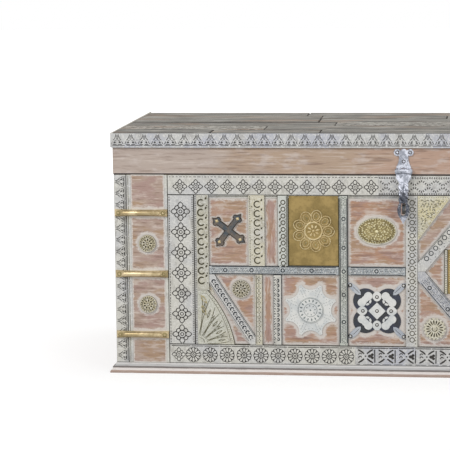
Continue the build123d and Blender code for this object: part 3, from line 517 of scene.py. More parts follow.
def beads(name, loops, y, long, wide, high, pitch, material, slant=0.0, mirror=True):
    """Rows of beads or rope strands along loops on the front."""
    path, bead = loops_object("path", loops), bead_object(long, wide, high)
    mesh = evaluated(
        bpy.data.node_groups.get("Bead Row") or bead_tree(), mirror,
        Path=path, Bead=bead, Pitch=pitch * MM, Slant=math.radians(slant), Unevenness=0.15,
        Seed=bpy.context.scene.chest_carving.seed, Facing=FACE_FRONT, Place=(0.0, y * MM, 0.0),
        Material=bpy.data.materials[material])
    drop(path, bead)
    return keep(name, mesh, "chest_body", smooth=True)


def carve(name, border, y=0.0, motif=(), copies=1, start=0j, step=0j, turn=0.0, facing=FACE_FRONT,
          place=None, depth=None, mirror=True, body="chest_body", slot="whitewashed_wood",
          material="limewashed carving", stands_for=()):
    """A carved plate: what lies inside border, less the grooves of the motif's rows.

    Each drawing is a list of loops. A loop in another one turns wood to groove and back.
    """
    props = bpy.context.scene.chest_carving
    pattern, edge = loops_object("motif", motif), loops_object("border", border)
    mesh = evaluated(
        bpy.data.node_groups.get("Carved Plate") or carving_tree(), mirror,
        Motif=pattern, Border=edge, Copies=copies, Turn=math.radians(turn), Looseness=props.looseness,
        Start=(start.real * MM, start.imag * MM, 0.0), Step=(step.real * MM, step.imag * MM, 0.0),
        Seed=props.seed, Depth=(depth or props.relief) * MM, Facing=facing,
        Place=tuple(c * MM for c in place or (0.0, y, 0.0)), Material=bpy.data.materials[material])
    drop(pattern, edge)
    return keep(name, mesh, body, stands_for=stands_for)


def strip(name, loop, face, start, end, motif=(), pitch=10.0, copies=None, turn=None, lines=(), cuts=(),
          snug=0.0, material="cream inlay"):
    """Carves a strip with a motif every so far from start to end, and lines beside it.

    The motif is drawn for a strip that runs to the right, unless a turn is given. Lines are
    pairs of how far to the left they lie and how wide they are. Snug closes the seam beside it.
    """
    way = (end - start) / abs(end - start)
    count = copies or max(1, int(abs(end - start) / pitch))
    lead = (abs(end - start) - (count - 1) * pitch) / 2
    edges = [grown(loop, snug)] + list(cuts)
    for off, wide in lines:
        edges.append(slit([start + way * (3.6 + 1j * off), end + way * (1j * off - 3.6)], wide, 1.0))
    angle = math.degrees(cmath.phase(way)) if turn is None else turn
    return carve(name, edges, face, motif, count, start + way * lead, way * pitch, angle, material=material)


# ------------------------------------------------------------------ finishes


def linear(code):
    """An sRGB hex colour as linear light."""
    parts = [int(code[k : k + 2], 16) / 255 for k in (0, 2, 4)]
    return tuple(c / 12.92 if c <= 0.04045 else ((c + 0.055) / 1.055) ** 2.4 for c in parts) + (1.0,)


class Finish:
    """A new material, whose colour is built up in layers. Its lengths are in millimetres."""

    def __init__(self, name, base, roughness, metallic=0.0):
        made = bpy.data.materials.new(name)
        made.use_nodes = True
        self.tree = made.node_tree
        self.shader = self.tree.nodes["Principled BSDF"]
        self.shader.inputs["Roughness"].default_value = roughness
        self.shader.inputs["Metallic"].default_value = metallic
        here = self.add("TexCoord").outputs["Object"]
        self.where = self.add("VectorMath", {0: here, "Scale": 1 / MM}, operation="SCALE")
        self.colour = linear(base)

    def add(self, kind, links=None, **settings):
        return add(self.tree, "ShaderNode" + kind, links, **settings)

    def place(self, axis):
        return self.add("SeparateXYZ", {0: self.where}).outputs[axis]

    def away(self, axis):
        """Distance from the chest's middle."""
        return self.add("Math", {0: self.place(axis), 1: 0.0}, operation="ABSOLUTE")

    def attribute(self, name):
        return self.add("Attribute", attribute_name=name).outputs["Fac"]

    def board_by_board(self, where, tone, by):
        """Shifts the patterns by each board's tone, so that no two boards look alike."""
        shift = self.add("CombineXYZ", {2: self.add("Math", {0: tone, 1: by}, operation="MULTIPLY")})
        self.where = self.add("VectorMath", {0: where, 1: shift}, operation="ADD")

    def pattern(self, size, detail=3.0, rough=0.6, long=1.0, axis=0):
        """Patches of a size, from 0 to 1, that may be longer along one axis."""
        where = self.where
        if long != 1.0:
            scale = tuple(1 / long if k == axis else 1.0 for k in range(3))
            where = self.add("Mapping", {"Vector": where, "Scale": scale})
        links = {"Vector": where, "Scale": 1 / size, "Detail": detail, "Roughness": rough}
        return self.add("TexNoise", links)

    def swayed(self, value, pattern, by):
        """A value that a pattern shifts either way."""
        off = self.add("Math", {0: pattern, 1: 0.5}, operation="SUBTRACT")
        off = self.add("Math", {0: off, 1: by}, operation="MULTIPLY")
        return self.add("Math", {0: value, 1: off}, operation="ADD")

    def share(self, value, low, high, top=1.0):
        """0 under low and top over high, smooth between."""
        links = {"Value": value, "From Min": low, "From Max": high, "To Max": top}
        return self.add("MapRange", links, interpolation_type="SMOOTHSTEP")

    def mix(self, share, colour):
        links = {0: share, 6: self.colour, 7: colour}
        self.colour = self.add("Mix", links, data_type="RGBA").outputs[2]

    def lay(self, code, value, low, high, top=1.0, within=None):
        """Lays a colour where a value runs from low to high, and within another value's range."""
        share = self.share(value, low, high, top)
        if within:
            share = self.add("Math", {0: self.share(*within), 1: share}, operation="MULTIPLY")
        self.mix(share, linear(code))

    def done(self, relief, depth):
        """Puts the colour on the shader, and a relief of some depth."""
        links = {"Height": relief, "Distance": depth * MM, "Strength": 1.0}
        self.tree.links.new(self.colour, self.shader.inputs["Base Color"])
        self.tree.links.new(self.add("Bump", links).outputs[0], self.shader.inputs["Normal"])


def limewash(name, warm, cool, rubbed="a1917f", rub=0.66, roughness=0.8):
    """Limewashed carved mango wood: chalky, with soft stains and a few rubbed specks."""
    look = Finish(name, warm, roughness)
    look.lay(cool, look.pattern(70.0, 2.0), 0.40, 0.62)
    look.lay("8f8a84", look.pattern(14.0, long=2.0, axis=2), 0.50, 0.66, 0.36)
    look.lay(rubbed, look.pattern(7.0, 4.0, 0.7, 1.6), rub, rub + 0.12, 0.7)
    look.lay("f2f0ea", look.pattern(3.4, 2.0), 0.48, 0.66, 0.55)
    look.done(look.pattern(1.6), 0.25)


def shadowed_ground(name, dark, pale, fade=0.66):
    """Grooves: bare wood darkened by dirt and by painted shade, with old limewash left in some stretches.

    The ends of such a board are limewashed, and its top edge, under the lid, is bare.
    """
    # The dark base colour is dirt and painted shade of the groove.
    look = Finish(name, dark, 0.9)
    look.lay(pale, look.pattern(26.0, rough=0.65), fade, fade + 0.12, 0.7)
    look.lay("2c2926", look.pattern(3.0, 2.0), 0.5, 0.8, 0.5)
    look.lay("c3beb5", look.away(0), CHEST_END - 0.7, CHEST_END - 0.2)
    height = look.place(2)
    look.lay("a9876a", height, BOX_TOP + 0.5, BOX_TOP + 0.2, within=(height, BOX_TOP - 0.7, BOX_TOP - 0.2))
    look.tree.links.new(look.colour, look.shader.inputs["Base Color"])


def worn_board(name):
    """Sanded mango boards under thin salmon paint, with white paint dragged along their edges.

    Attribute margin is the distance in millimetres to the nearest strip or ornament, tone the
    board's own shade, and upright is 1 where the grain runs up.
    """
    look = Finish(name, "bb9176", 0.72)
    margin, tone, upright = (look.attribute(k) for k in ("margin", "tone", "upright"))
    lying = look.add("CombineXYZ", {0: look.place(0), 1: look.place(2)})
    standing = look.add("CombineXYZ", {0: look.place(2), 1: look.place(0)})
    grain = look.add("Mix", {0: upright, 4: lying, 5: standing}, data_type="VECTOR").outputs[1]
    look.board_by_board(grain, tone, 300.0)
    streak, broad = look.pattern(5.0, rough=0.7, long=9.0), look.pattern(26.0, long=2.6)
    look.mix(tone, linear("b9a497"))
    look.lay("b4967b", broad, 0.50, 0.62, 0.85)
    look.lay("b3958d", broad, 0.50, 0.38, 0.8)
    look.lay("d0beb2", look.pattern(15.0, rough=0.65, long=2.0), 0.53, 0.66, 0.7)
    look.lay("e0d3c8", streak, 0.53, 0.63, 0.6)
    look.lay("8a7165", streak, 0.46, 0.36, 0.6)
    look.lay("e3ded8", look.swayed(margin, look.pattern(6.0, 4.0, 0.75, 2.4), 18.0), 7.0, 2.6, 0.85)
    look.done(streak, 0.35)


def dry_brushed(look, axis, base, wash, dark, pale, force):
    """Brushes paint over boards with their grain along an axis, and gives back its streaks."""
    streak = look.pattern(4.5, rough=0.7, long=12.0, axis=axis)
    look.colour = linear(base)
    look.lay(wash, look.pattern(34.0, long=2.6, axis=axis), 0.44, 0.58)
    look.lay(pale, streak, 0.52, 0.63, force)
    look.lay(dark, streak, 0.46, 0.36, force)
    look.lay(pale, look.pattern(2.4, long=16.0, axis=axis), 0.55, 0.70, 0.4)
    return streak


def chest_boards(name, axis=0, faces=()):
    """Plain mango boards, bare inside, and on their outer faces under worn salmon paint.

    An outer face is an axis and the distance from the chest's middle from which paint starts.
    """
    look = Finish(name, "a9876a", 0.78)
    streak = dry_brushed(look, axis, "a9876a", "b39275", "7f634c", "c6ae95", 0.5)
    if faces:
        bare, outside = look.colour, 0.0
        dry_brushed(look, axis, "b59482", "b09284", "80675b", "d3c6ba", 0.7)
        paint, look.colour = look.colour, bare
        for across, limit in faces:
            reached = look.share(look.away(across), limit - 0.6, limit - 0.2)
            outside = look.add("Math", {0: reached, 1: outside}, operation="MAXIMUM")
        look.mix(outside, paint)
    look.done(streak, 0.4)


def lid_rail(name, axis=0):
    """Sanded boards of the lid: salmon near the middle, tan further out, pale mauve at the ends."""
    look = Finish(name, "c3a491", 0.75)
    away = look.swayed(look.away(0), look.pattern(30.0, long=2.6, axis=axis), 500.0)
    streak = look.pattern(3.4, rough=0.7, long=20.0, axis=axis)
    look.lay("bda590", away, 120.0, 330.0)
    look.lay("c2b2a7", away, 400.0, 560.0)
    look.lay("d3c6bf", look.pattern(18.0, long=2.0, axis=axis), 0.52, 0.66, 0.6)
    look.lay("e0d3c8", streak, 0.54, 0.66, 0.5)
    look.lay("876e62", streak, 0.46, 0.34, 0.5)
    look.lay("7f665a", look.pattern(9.0, 2.0, long=9.0, axis=axis), 0.40, 0.30, 0.5)
    look.done(streak, 0.3)


def lid_boards(name):
    """Old boards out in the weather: grey, each of its own shade, some stained, some flecked.

    Attribute tone is the board's own tone, and seam is 1 down its sides, where painted shade darkens the
    joints between boards.
    """
    look = Finish(name, "73716b", 0.85)
    tone = look.attribute("tone")
    look.board_by_board(look.where, tone, 400.0)
    streak = look.pattern(9.0, 4.0, 0.7, 9.0)
    fleck = look.pattern(11.0, 3.0, 0.75, 1.6, 1)
    carved = tone, 0.62, 0.66
    look.mix(tone, linear("8f8b83"))
    look.lay("8d7a69", look.pattern(60.0, long=2.5), 0.52, 0.64, 0.75)
    look.lay("b6b2aa", streak, 0.52, 0.62, 0.8)
    look.lay("4a4642", streak, 0.46, 0.38, 0.8)
    look.lay("bcbab2", fleck, 0.53, 0.60, 0.5, carved)
    look.lay("403d3a", fleck, 0.47, 0.40, 0.6, carved)
    look.lay("35322f", look.pattern(13.0, 1.0, long=26.0), 0.40, 0.36, 0.9)
    # Painted shade down the upper sides of each board, in the joints between boards.
    look.lay("3a3633", look.attribute("seam"), 0.2, 0.9, 0.85)
    look.done(look.add("Math", {0: streak, 1: fleck}, operation="ADD"), 0.6)


def hasp_iron(name, dark="353943"):
    """Zinc-dipped forging: bright above and at the tip, blackened where the twist is handled."""
    look = Finish(name, "90949e", 0.42, 0.85)
    patch, speck = look.pattern(9.0, rough=0.7), look.pattern(3.0, rough=0.7)
    height = look.swayed(look.place(2), patch, 60.0)
    look.lay("cfd2dc", patch, 0.42, 0.60)
    look.lay(dark, height, 300.0, 310.0, within=(height, 362.0, 342.0, 0.9))
    look.lay("e3e4ea", speck, 0.56, 0.70, 0.5)
    look.lay(dark, speck, 0.42, 0.34, 0.6)
    look.done(speck, 0.3)


def by_height(name, base, *bands):
    """Level bands of colour, given as (height, colour), with a rubbed grain. The bands may hold painted
    highlight and shade.
    """
    look = Finish(name, base, 0.75)
    height = look.swayed(look.place(2), look.pattern(6.0, 2.0, long=5.0), 1.0)
    for level_of, code in bands:
        look.lay(code, height, level_of - 0.25, level_of + 0.25)
    streak = look.pattern(3.0, 4.0, 0.7, 12.0)
    look.lay("e4dfdb", streak, 0.55, 0.72, 0.5)
    look.lay("7a6c66", streak, 0.45, 0.30, 0.4)
    look.done(streak, 0.3)


def sheet_metal(name, bright, dull, tarnish, roughness=0.42, metallic=1.0, patch=24.0, bump=0.15):
    """Hand-worked sheet or bar metal: wiped bright in places, dull and tarnished in others."""
    look = Finish(name, dull, roughness, metallic)
    broad = look.pattern(patch)
    look.lay(bright, broad, 0.40, 0.62)
    look.lay(tarnish, look.pattern(patch / 7, rough=0.7), 0.55, 0.75, 0.6)
    rough = look.add("MapRange", {"Value": broad, "To Min": roughness + 0.12, "To Max": roughness - 0.1})
    look.tree.links.new(rough.outputs[0], look.shader.inputs["Roughness"])
    look.done(look.pattern(3.5), bump)


def painted_tin(name, base, chipped, tint, roughness=0.5):
    """Tin sheet under old oil paint, chipped along scratches and tinted by what lay on it."""
    look = Finish(name, base, roughness)
    chips = look.pattern(3.5, 4.0, 0.75)
    look.lay(tint, look.pattern(20.0), 0.42, 0.62)
    look.lay(chipped, chips, 0.60, 0.70, 0.8)
    look.done(chips, 0.12)


def directly_seen(tree):
    """1 for rays that show the surface itself, in the picture, in metal or through glass."""
    path = add(tree, "ShaderNodeLightPath").outputs
    seen = path["Is Camera Ray"]
    for kind in ("Is Glossy Ray", "Is Transmission Ray"):
        seen = add(tree, "ShaderNodeMath", {0: seen, 1: path[kind]}, operation="MAXIMUM")
    return seen


def white_floor(name):
    """Paper that is white where the light falls on it, and keeps a soft shadow at the chest."""
    look = Finish(name, "b0b0b0", 0.95)
    away = look.add("VectorMath", {0: look.where}, operation="LENGTH").outputs["Value"]
    glow = look.add("MapRange", {"Value": away, "From Min": 800.0, "From Max": 2600.0, "To Min": 0.62},
                    interpolation_type="SMOOTHSTEP")
    strength = look.add("Math", {0: directly_seen(look.tree), 1: glow}, operation="MULTIPLY")
    look.shader.inputs["Base Color"].default_value = look.colour
    look.shader.inputs["Emission Color"].default_value = linear("ffffff")
    look.tree.links.new(strength.outputs[0], look.shader.inputs["Emission Strength"])
    return bpy.data.materials[name]


def make_finishes():
    limewash("limewashed carving", "dbd9d0", "d1d1d0")  # Chalky off-white faces of the chip carving.
    limewash("blue limewashed carving", "d2d2d0", "c4c6ce", "8b7f78", 0.64)  # Cooler and more rubbed.
    limewash("cream inlay", "dad4bd", "d6d3c8", "9a8c62", 0.62)  # Ivory strips, yellow where rubbed.
    limewash("aged cream inlay", "cbc7b4", "c8c6ba", "857b58", 0.60)  # The same, dulled by hands.
    limewash("green-grey inlay", "d6d9d2", "d2d5d0", "8a8f7e", 0.64)  # Pale strips with a green cast.
    limewash("dull green inlay", "c6cac0", "c2c6c0", "7f8574", 0.60)  # Greyer green, soiled.
    limewash("blue-grey inlay", "b2b8bb", "bcc1c3", "65707a", 0.58)  # Slate-coloured rails.
    limewash("lavender limewash", "b9bbc1", "c9c9cb", "7d7a80", 0.60)  # Faint violet in the shade.
    limewash("gilded carving", "ddd3ab", "dcd8c4", "8f7c2e", 0.60, 0.6)  # Gold paint, mostly rubbed off.
    limewash("olive gilding", "a99c50", "bcae74", "6f6526", 0.52)  # Gold paint turned green with age.
    limewash("moss carving", "d6d2bd", "d0d0c2", "97906c", 0.60)  # Cream with a mossy tinge.
    limewash("olive limewash", "bcb294", "c6bfab", "776b50", 0.58)  # Tan and grey, nearly bare.
    limewash("creamy rosette", "d3c9a8", "c8bfa2", "80744f", 0.56)  # Yellowed cream with brown wear.
    # Groove floors: dark with dirt and with painted shade of the grooves.
    shadowed_ground("shadowed ground", "413e3b", "9a978f")  # Near-black brown under grey carving.
    shadowed_ground("olive ground", "57523f", "a49c7c")  # Dark olive under cream carving.
    shadowed_ground("moss ground", "827d66", "b5b09a", 0.60)  # Soft green-brown, hardly dark.
    shadowed_ground("blue-black ground", "33393f", "8b939a")  # Cold dark under slate carving.
    worn_board("worn salmon board")  # Pink-brown streaks that fade to white at every edge.
    lid_rail("worn lid rail")  # A pinkish board, tan and then mauve towards its ends.
    lid_rail("worn lid end rail", 1)  # The same board, with its grain from front to back.
    lid_boards("weathered lid boards")  # Silver-grey old wood with dark cracks, and painted shade in the seams.
    chest_boards("plain inside boards")  # Clean tan wood that light and hands don't reach.
    chest_boards("end boards", 1, ((0, CHEST_END),))  # Faded salmon paint with streaks of wood.
    chest_boards("back boards", 0, ((1, CHEST_BACK), (0, CHEST_END)))  # The same along the back.
    # Salmon foot, a pale bead that is white paint and painted highlight, painted shade in the hollow above
    # it, and pale grey moulding above that.
    by_height("painted plinth", "b39c90", (5.0, "e9e2de"), (9.6, "7c7673"), (12.2, "c2c2c1"),
              (15.5, "d9d7d5"))
    sheet_metal("worked brass sheet", "9c8759", "87754c", "6c5a38", 0.55)  # Dull gold with brown tarnish.
    sheet_metal("gilt repousse brass", "fbf5d6", "e8deb0", "b3a772", 0.5, 0.15, 7.0, 0.2)  # Pale gold.
    sheet_metal("dark repousse ground", "a4966a", "8c7f56", "685d3d", 0.6, 0.3, 9.0, 0.2)  # Tarnished.
    sheet_metal("pale gilding", "e6d6ab", "d6c08f", "a58c5b", 0.5, 0.15, 12.0, 0.2)  # Soft light gold paint.
    sheet_metal("polished brass bar", "cfbd98", "a5936e", "776345", 0.38, 0.75)  # Bright where handled.
    sheet_metal("forged iron", "6c635b", "4c545a", "3c342e", 0.55, 0.6, 16.0, 0.3)  # Blue-grey and rusty.
    sheet_metal("blackened iron edge", "463c33", "3a322b", "2a2420", 0.6, 0.6, 16.0, 0.3)  # Oiled.
    hasp_iron("galvanised hasp iron")  # Bright zinc, with black left on the handled twist.
    painted_tin("white painted tin", "ecece8", "c6cccb", "dadddc")  # Clean white, a little chipped.
    painted_tin("grey painted tin", "c6cad0", "9aa2aa", "b3b9c2")  # Light blue-grey.
    painted_tin("weathered tin ground", "8b9593", "aab2b0", "717a7c", 0.6)  # Grey-green under the pricks: painted shade of the punched dents.
    painted_tin("blackened tin", "282b2f", "4d5454", "2b3042", 0.4)  # Glossy blue-black.


# ------------------------------------------------------------------ motifs


def diamond_flower(reach, gap=1.35):
    """Four long petals, four broad ones that fill the diamond between, and a ringed heart."""
    petals = round_about(4, leaf(0.41 * reach, 0.93 * reach, 0.42 * reach, 6, 0.85, 0.7))
    petals += round_about(4, leaf(0.40 * reach, 0.69 * reach, 0.36 * reach, 6, 0.95, 0.5), start=45)
    edge = outline_round([grown(petal, gap) for petal in petals])
    heart = [circle(0, share * reach, points) for share, points in ((0.33, 14), (0.205, 12), (0.12, 8))]
    return [edge] + petals + heart


def daisy(radius, petals=12):
    """A round flower: pale petals on a dark ground, round a ringed heart."""
    leaves = round_about(petals, leaf(0.33 * radius, 0.95 * radius, 0.27 * radius, 6, 1.5, 0.55))
    heart = [circle(0, share * radius, points) for share, points in ((0.27, 12), (0.17, 10), (0.08, 7))]
    return [scalloped(radius, petals)] + leaves + heart


def palmette(wide, high, bold=0.065):
    """A cornice leaf: a pale bell with a long drop in it, over spread leaves with a dark drop each."""

    def at(x, z):
        return complex(x * wide / 2, z * high)

    line = bold * high
    half = [
        slit(curve(at(-0.17, 0.98), at(-0.22, 0.56), at(-0.66, 0.42), 6), line),
        slit(curve(at(-0.70, 0.33), at(-0.72, 0.20), at(-0.92, 0.06), 5), line),
        slit(curve(at(-0.14, 0.40), at(-0.30, 0.34), at(-0.50, 0.33), 4), line * 0.8),
        leaf(at(-0.20, 0.25), at(-0.60, 0.16), 0.15 * high, 4),
        slit([at(-0.72, 0.03), at(-0.10, 0.03)], line * 1.1, 1.0),
    ]
    drops = [leaf(at(0, 0.44), at(0, 0.92), 0.17 * high, 6), leaf(at(0, 0.50), at(0, 0.84), 0.07 * high, 4)]
    return half + flipped(half) + drops


def lattice_cell(pitch, strokes=7, curls=6, sway=3.7):
    """One link of a plaited band: rows of strokes round a pale diamond, between rows of curls."""
    loops = []
    for k in range(strokes):
        x = pitch * ((k + 0.5) / strokes - 0.5)
        angle = 2 * math.pi * x / pitch
        slope = complex(1, -sway * math.sin(angle) * 2 * math.pi / pitch)
        spot, side = complex(x, 6.5 + sway * math.cos(angle)), 1j * slope / abs(slope) * 2.0
        stroke = [slit([spot - side, spot + side], 2.1, 0.9)]
        loops += stroke + flipped(stroke, 1, -1)
    for k in range(curls):
        x = pitch * ((k + 0.5) / curls - 0.5)
        loops.append(slit(arc(complex(x, 15.9), 1.35, 60, 320, 5), 1.4, 1.0))
        loops.append(slit(arc(complex(x, -14.4), 1.3, 60, 320, 5), 1.3, 1.0))
    return loops


def cross_block():
    """A square block of the lower band: a broad X, a dotted heart and a lobed leaf on each side."""
    arms = [
        slit([complex(x * side, z * rise) for x, z in ((14.1, 12.7), (8.3, 9.4), (2.6, 4.8))], 3.5, 0.75)
        for side in (1, -1)
        for rise in (1, -1)
    ]
    lobes = [circle(2.2 + s * 2.9j, 3.0, 12) for s in (1, -1)] + [ellipse(-1.8, 4.4, 3.4, 12)]
    ribs = [slit(arc(complex(-10.2, s * 3.0), 2.9, 10, 190, 6), 2.0) for s in (1, -1)]
    separator = slit([17.5 - 12.6j, 17.5 + 12.8j], 2.2, 1.0)
    return arms + moved([outline_round(lobes, 28)], 10.6) + ribs + [circle(0.0, 1.6, 8), separator]


# ------------------------------------------------------------------ modelled forms


def skin(shape, rings, closed=False):
    """Faces between rings of corners, and over the first and the last ring."""
    count = len(rings[0])
    for low, high in zip(rings, rings[1:] + rings[:1] if closed else rings[1:]):
        for k in range(count):
            after = (k + 1) % count
            shape.faces.new((low[k], low[after], high[after], high[k]))
    if not closed:
        shape.faces.new(rings[0][::-1])
        shape.faces.new(rings[-1])


def heap(shape, outline, face, profile):
    """Raises a closed form on a face, from rings of an outline: (share of its size, height).

    The face is a depth, or a function that gives the depth at a point.
    """
    middle = sum(outline) / len(outline)
    deep = face if callable(face) else lambda p: face
    if area(outline) < 0:
        outline = outline[::-1]
    rings = []
    for share, height in profile:
        points = [middle + (p - middle) * share for p in outline]
        rings.append([shape.verts.new((p.real, deep(p) - height, p.imag)) for p in points])
    skin(shape, rings)


def domed(height, steps=4, edge=0.25):
    """A profile for heap that rises quickly and ends in a small flat."""
    rise = [(math.sin(QUARTER * k / steps), math.cos(QUARTER * k / steps)) for k in range(steps, -1, -1)]
    return [(1.0, 0.0)] + [(max(s, 0.12), height * (edge + (1 - edge) * c)) for s, c in rise]


def cord_on(shape, path, radius, depth, closed=False, sides=6, ends=1.0):
    """A round wire or rib along points (complex, or complex with a depth of their own)."""
    spots = [p if isinstance(p, tuple) else (p, depth) for p in path]
    last, rings = len(spots) - 1, []
    for k, (here, deep) in enumerate(spots):
        before, after = (k - 1, (k + 1) % len(spots)) if closed else (max(k - 1, 0), min(k + 1, last))
        ahead = spots[after][0] - spots[before][0]
        side = 1j * ahead / max(abs(ahead), 1e-9)
        size = radius * (ends if not closed and k in (0, last) else 1)
        points = [(here + side * size * way.real, deep - size * way.imag) for way in ways(sides)]
        rings.append([shape.verts.new((p.real, y, p.imag)) for p, y in points])
    skin(shape, rings, closed)


def turned_form(shape, middle, profile, face, sides=24, scallop=0.0):
    """A form turned about an axis out of the face. The profile is (radius, height) outwards-in.

    Scallop is how deep its outer edge is cut into bows.
    """
    rings = []
    for radius, height in profile:
        cut = scallop * (radius > 4)
        points = [middle + way * radius * (1 + cut * math.cos(8 * cmath.phase(way))) for way in ways(sides)]
        rings.append([shape.verts.new((p.real, face - height, p.imag)) for p in points])
    skin(shape, rings)


def finish_shape(name, shape, slot, material, body="chest_body", smooth=True, mirror=True, stands_for=()):
    """Turns a bmesh drawn in millimetres into a finished piece."""
    if mirror:
        with_mirror(shape)
    bmesh.ops.recalc_face_normals(shape, faces=shape.faces)
    bmesh.ops.scale(shape, vec=(MM,) * 3, verts=shape.verts)
    mesh = bpy.data.meshes.new(name)
    shape.to_mesh(mesh)
    shape.free()
    piece = keep(name, mesh, body, bpy.data.materials[material], smooth, stands_for)
    if smooth:
        mesh.set_sharp_from_angle(angle=math.radians(40))
    return piece


def board_panel(name, border, face, tone, upright=0.0, keep_clear=(), sound=1.0, proud=0.4, cell=3.0):
    """A thin painted board face. Its corners know how far they are from edges and ornaments.

    Sound is how well its own edges kept their paint.
    """
    shape = bmesh.new()
    margin, tones, turns = (shape.verts.layers.float.new(k) for k in ("margin", "tone", "upright"))
    if area(border) < 0:
        border = border[::-1]
    shape.faces.new([shape.verts.new((p.real, face - proud, p.imag)) for p in border])
    span = spread(border)
    for low, high, axis in ((span.west, span.east, 0), (span.low, span.high, 2)):
        count = max(1, round((high - low) / cell))
        for k in range(1, count):
            spot, way = Vector((0, 0, 0)), Vector((0, 0, 0))
            spot[axis], way[axis] = low + (high - low) * k / count, 1
            everything = shape.verts[:] + shape.edges[:] + shape.faces[:]
            bmesh.ops.bisect_plane(shape, geom=everything, plane_co=spot, plane_no=way, dist=1e-4)
    for vert in shape.verts:
        here = complex(vert.co.x, vert.co.z)
        reach = gap_to(here, border) * sound
        for loop in keep_clear:
            reach = min(reach, 0.0 if inside(here, loop) else gap_to(here, loop))
        vert[margin], vert[tones], vert[turns] = reach, tone, upright
    rim = [edge for edge in shape.edges if edge.is_boundary]
    for made in bmesh.ops.extrude_edge_only(shape, edges=rim)["geom"]:
        if isinstance(made, bmesh.types.BMVert):
            made.co.y = face
    bmesh.ops.contextual_create(shape, geom=[e for e in shape.edges if e.is_boundary])
    return finish_shape(name, shape, "aged_wood", "worn salmon board", smooth=False)


# ------------------------------------------------------------------ sizes a user may change


class ChestCarving(bpy.types.PropertyGroup):
    """How the carving and its limewash look."""

    relief: FloatProperty(
        name="Relief", description="Depth of the grooves in millimetres", default=0.9, min=0.3, max=1.5)
    looseness: FloatProperty(
        name="Looseness", description="How uneven the hand carving is", default=0.025, min=0.0, max=0.1)
    seed: IntProperty(name="Seed", description="Seed of the hand-made differences", default=7)


class ChestStage(bpy.types.PropertyGroup):
    """Where the chest is looked at from."""

    eye: FloatVectorProperty(
        name="Eye", description="Place of the camera", default=(0.0, -3.945, 0.824), subtype="TRANSLATION")
    aim: FloatVectorProperty(
        name="Aim", description="Yaw, pitch and roll in degrees", default=(6.741, 7.153, -0.594))
    lens: FloatProperty(name="Lens", description="Focal length in millimetres", default=160.5)
    shift: FloatVectorProperty(name="Shift", description="Lens shift", default=(-0.05, -0.08), size=2)


# ------------------------------------------------------------------ pieces


GROUNDS = {
    "shadowed ground": "top_band bottom_band side_band_left side_band_right corner_strip_left "
                       "corner_strip_right cornice_front cornice_left cornice_right",
    "blue-black ground": "diagonal_strips diamond_strips dark_strips rail_strips tall_strips",
    "olive ground": "outer_ring_strips inner_ring_strips cream_strips green_strips centre_strips "
                    "side_rosettes field_rosettes",
    "moss ground": "fan_panels corner_carvings front_board side_board_left side_board_right",
    "plain inside boards": "bottom_board lid_battens",
    "end boards": "end_board_left end_board_right",
    "back boards": "back_board lid_rail_back",
    "worn lid rail": "lid_rail_front",
    "worn lid end rail": "lid_rail_left lid_rail_right",
    "painted plinth": "plinth_front plinth_back plinth_left plinth_right",
    "weathered lid boards": "lid_planks",
    "forged iron": "box_hinge_leaves hinge_pins lid_hinge_leaves staple_left staple_right",
    "galvanised hasp iron": "hasp_plate_left hasp_plate_right hasp_pin_left hasp_pin_right "
                            "hasp_strap_left hasp_strap_right",
    "polished brass bar": "brass_straps_left brass_straps_right",
    "worked brass sheet": "flower_plates centre_plate",
    "dark repousse ground": "oval_bosses",
    "weathered tin ground": "stars",
    "blackened tin": "fret_plates fret_scrolls",
    "blackened iron edge": "iron_crosses",
}


class CHEST_OT_finishes(bpy.types.Operator):
    """Mixes every paint, wood and metal finish, and gives the plain nodes theirs"""

    bl_idname, bl_label = "chest.finishes", "Finishes"

    def execute(self, context):
        make_finishes()
        for material, nodes in GROUNDS.items():
            for node in nodes.split():
                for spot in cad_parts[node].material_slots:
                    spot.link = "OBJECT"
                    spot.material = bpy.data.materials[material]
        return {"FINISHED"}


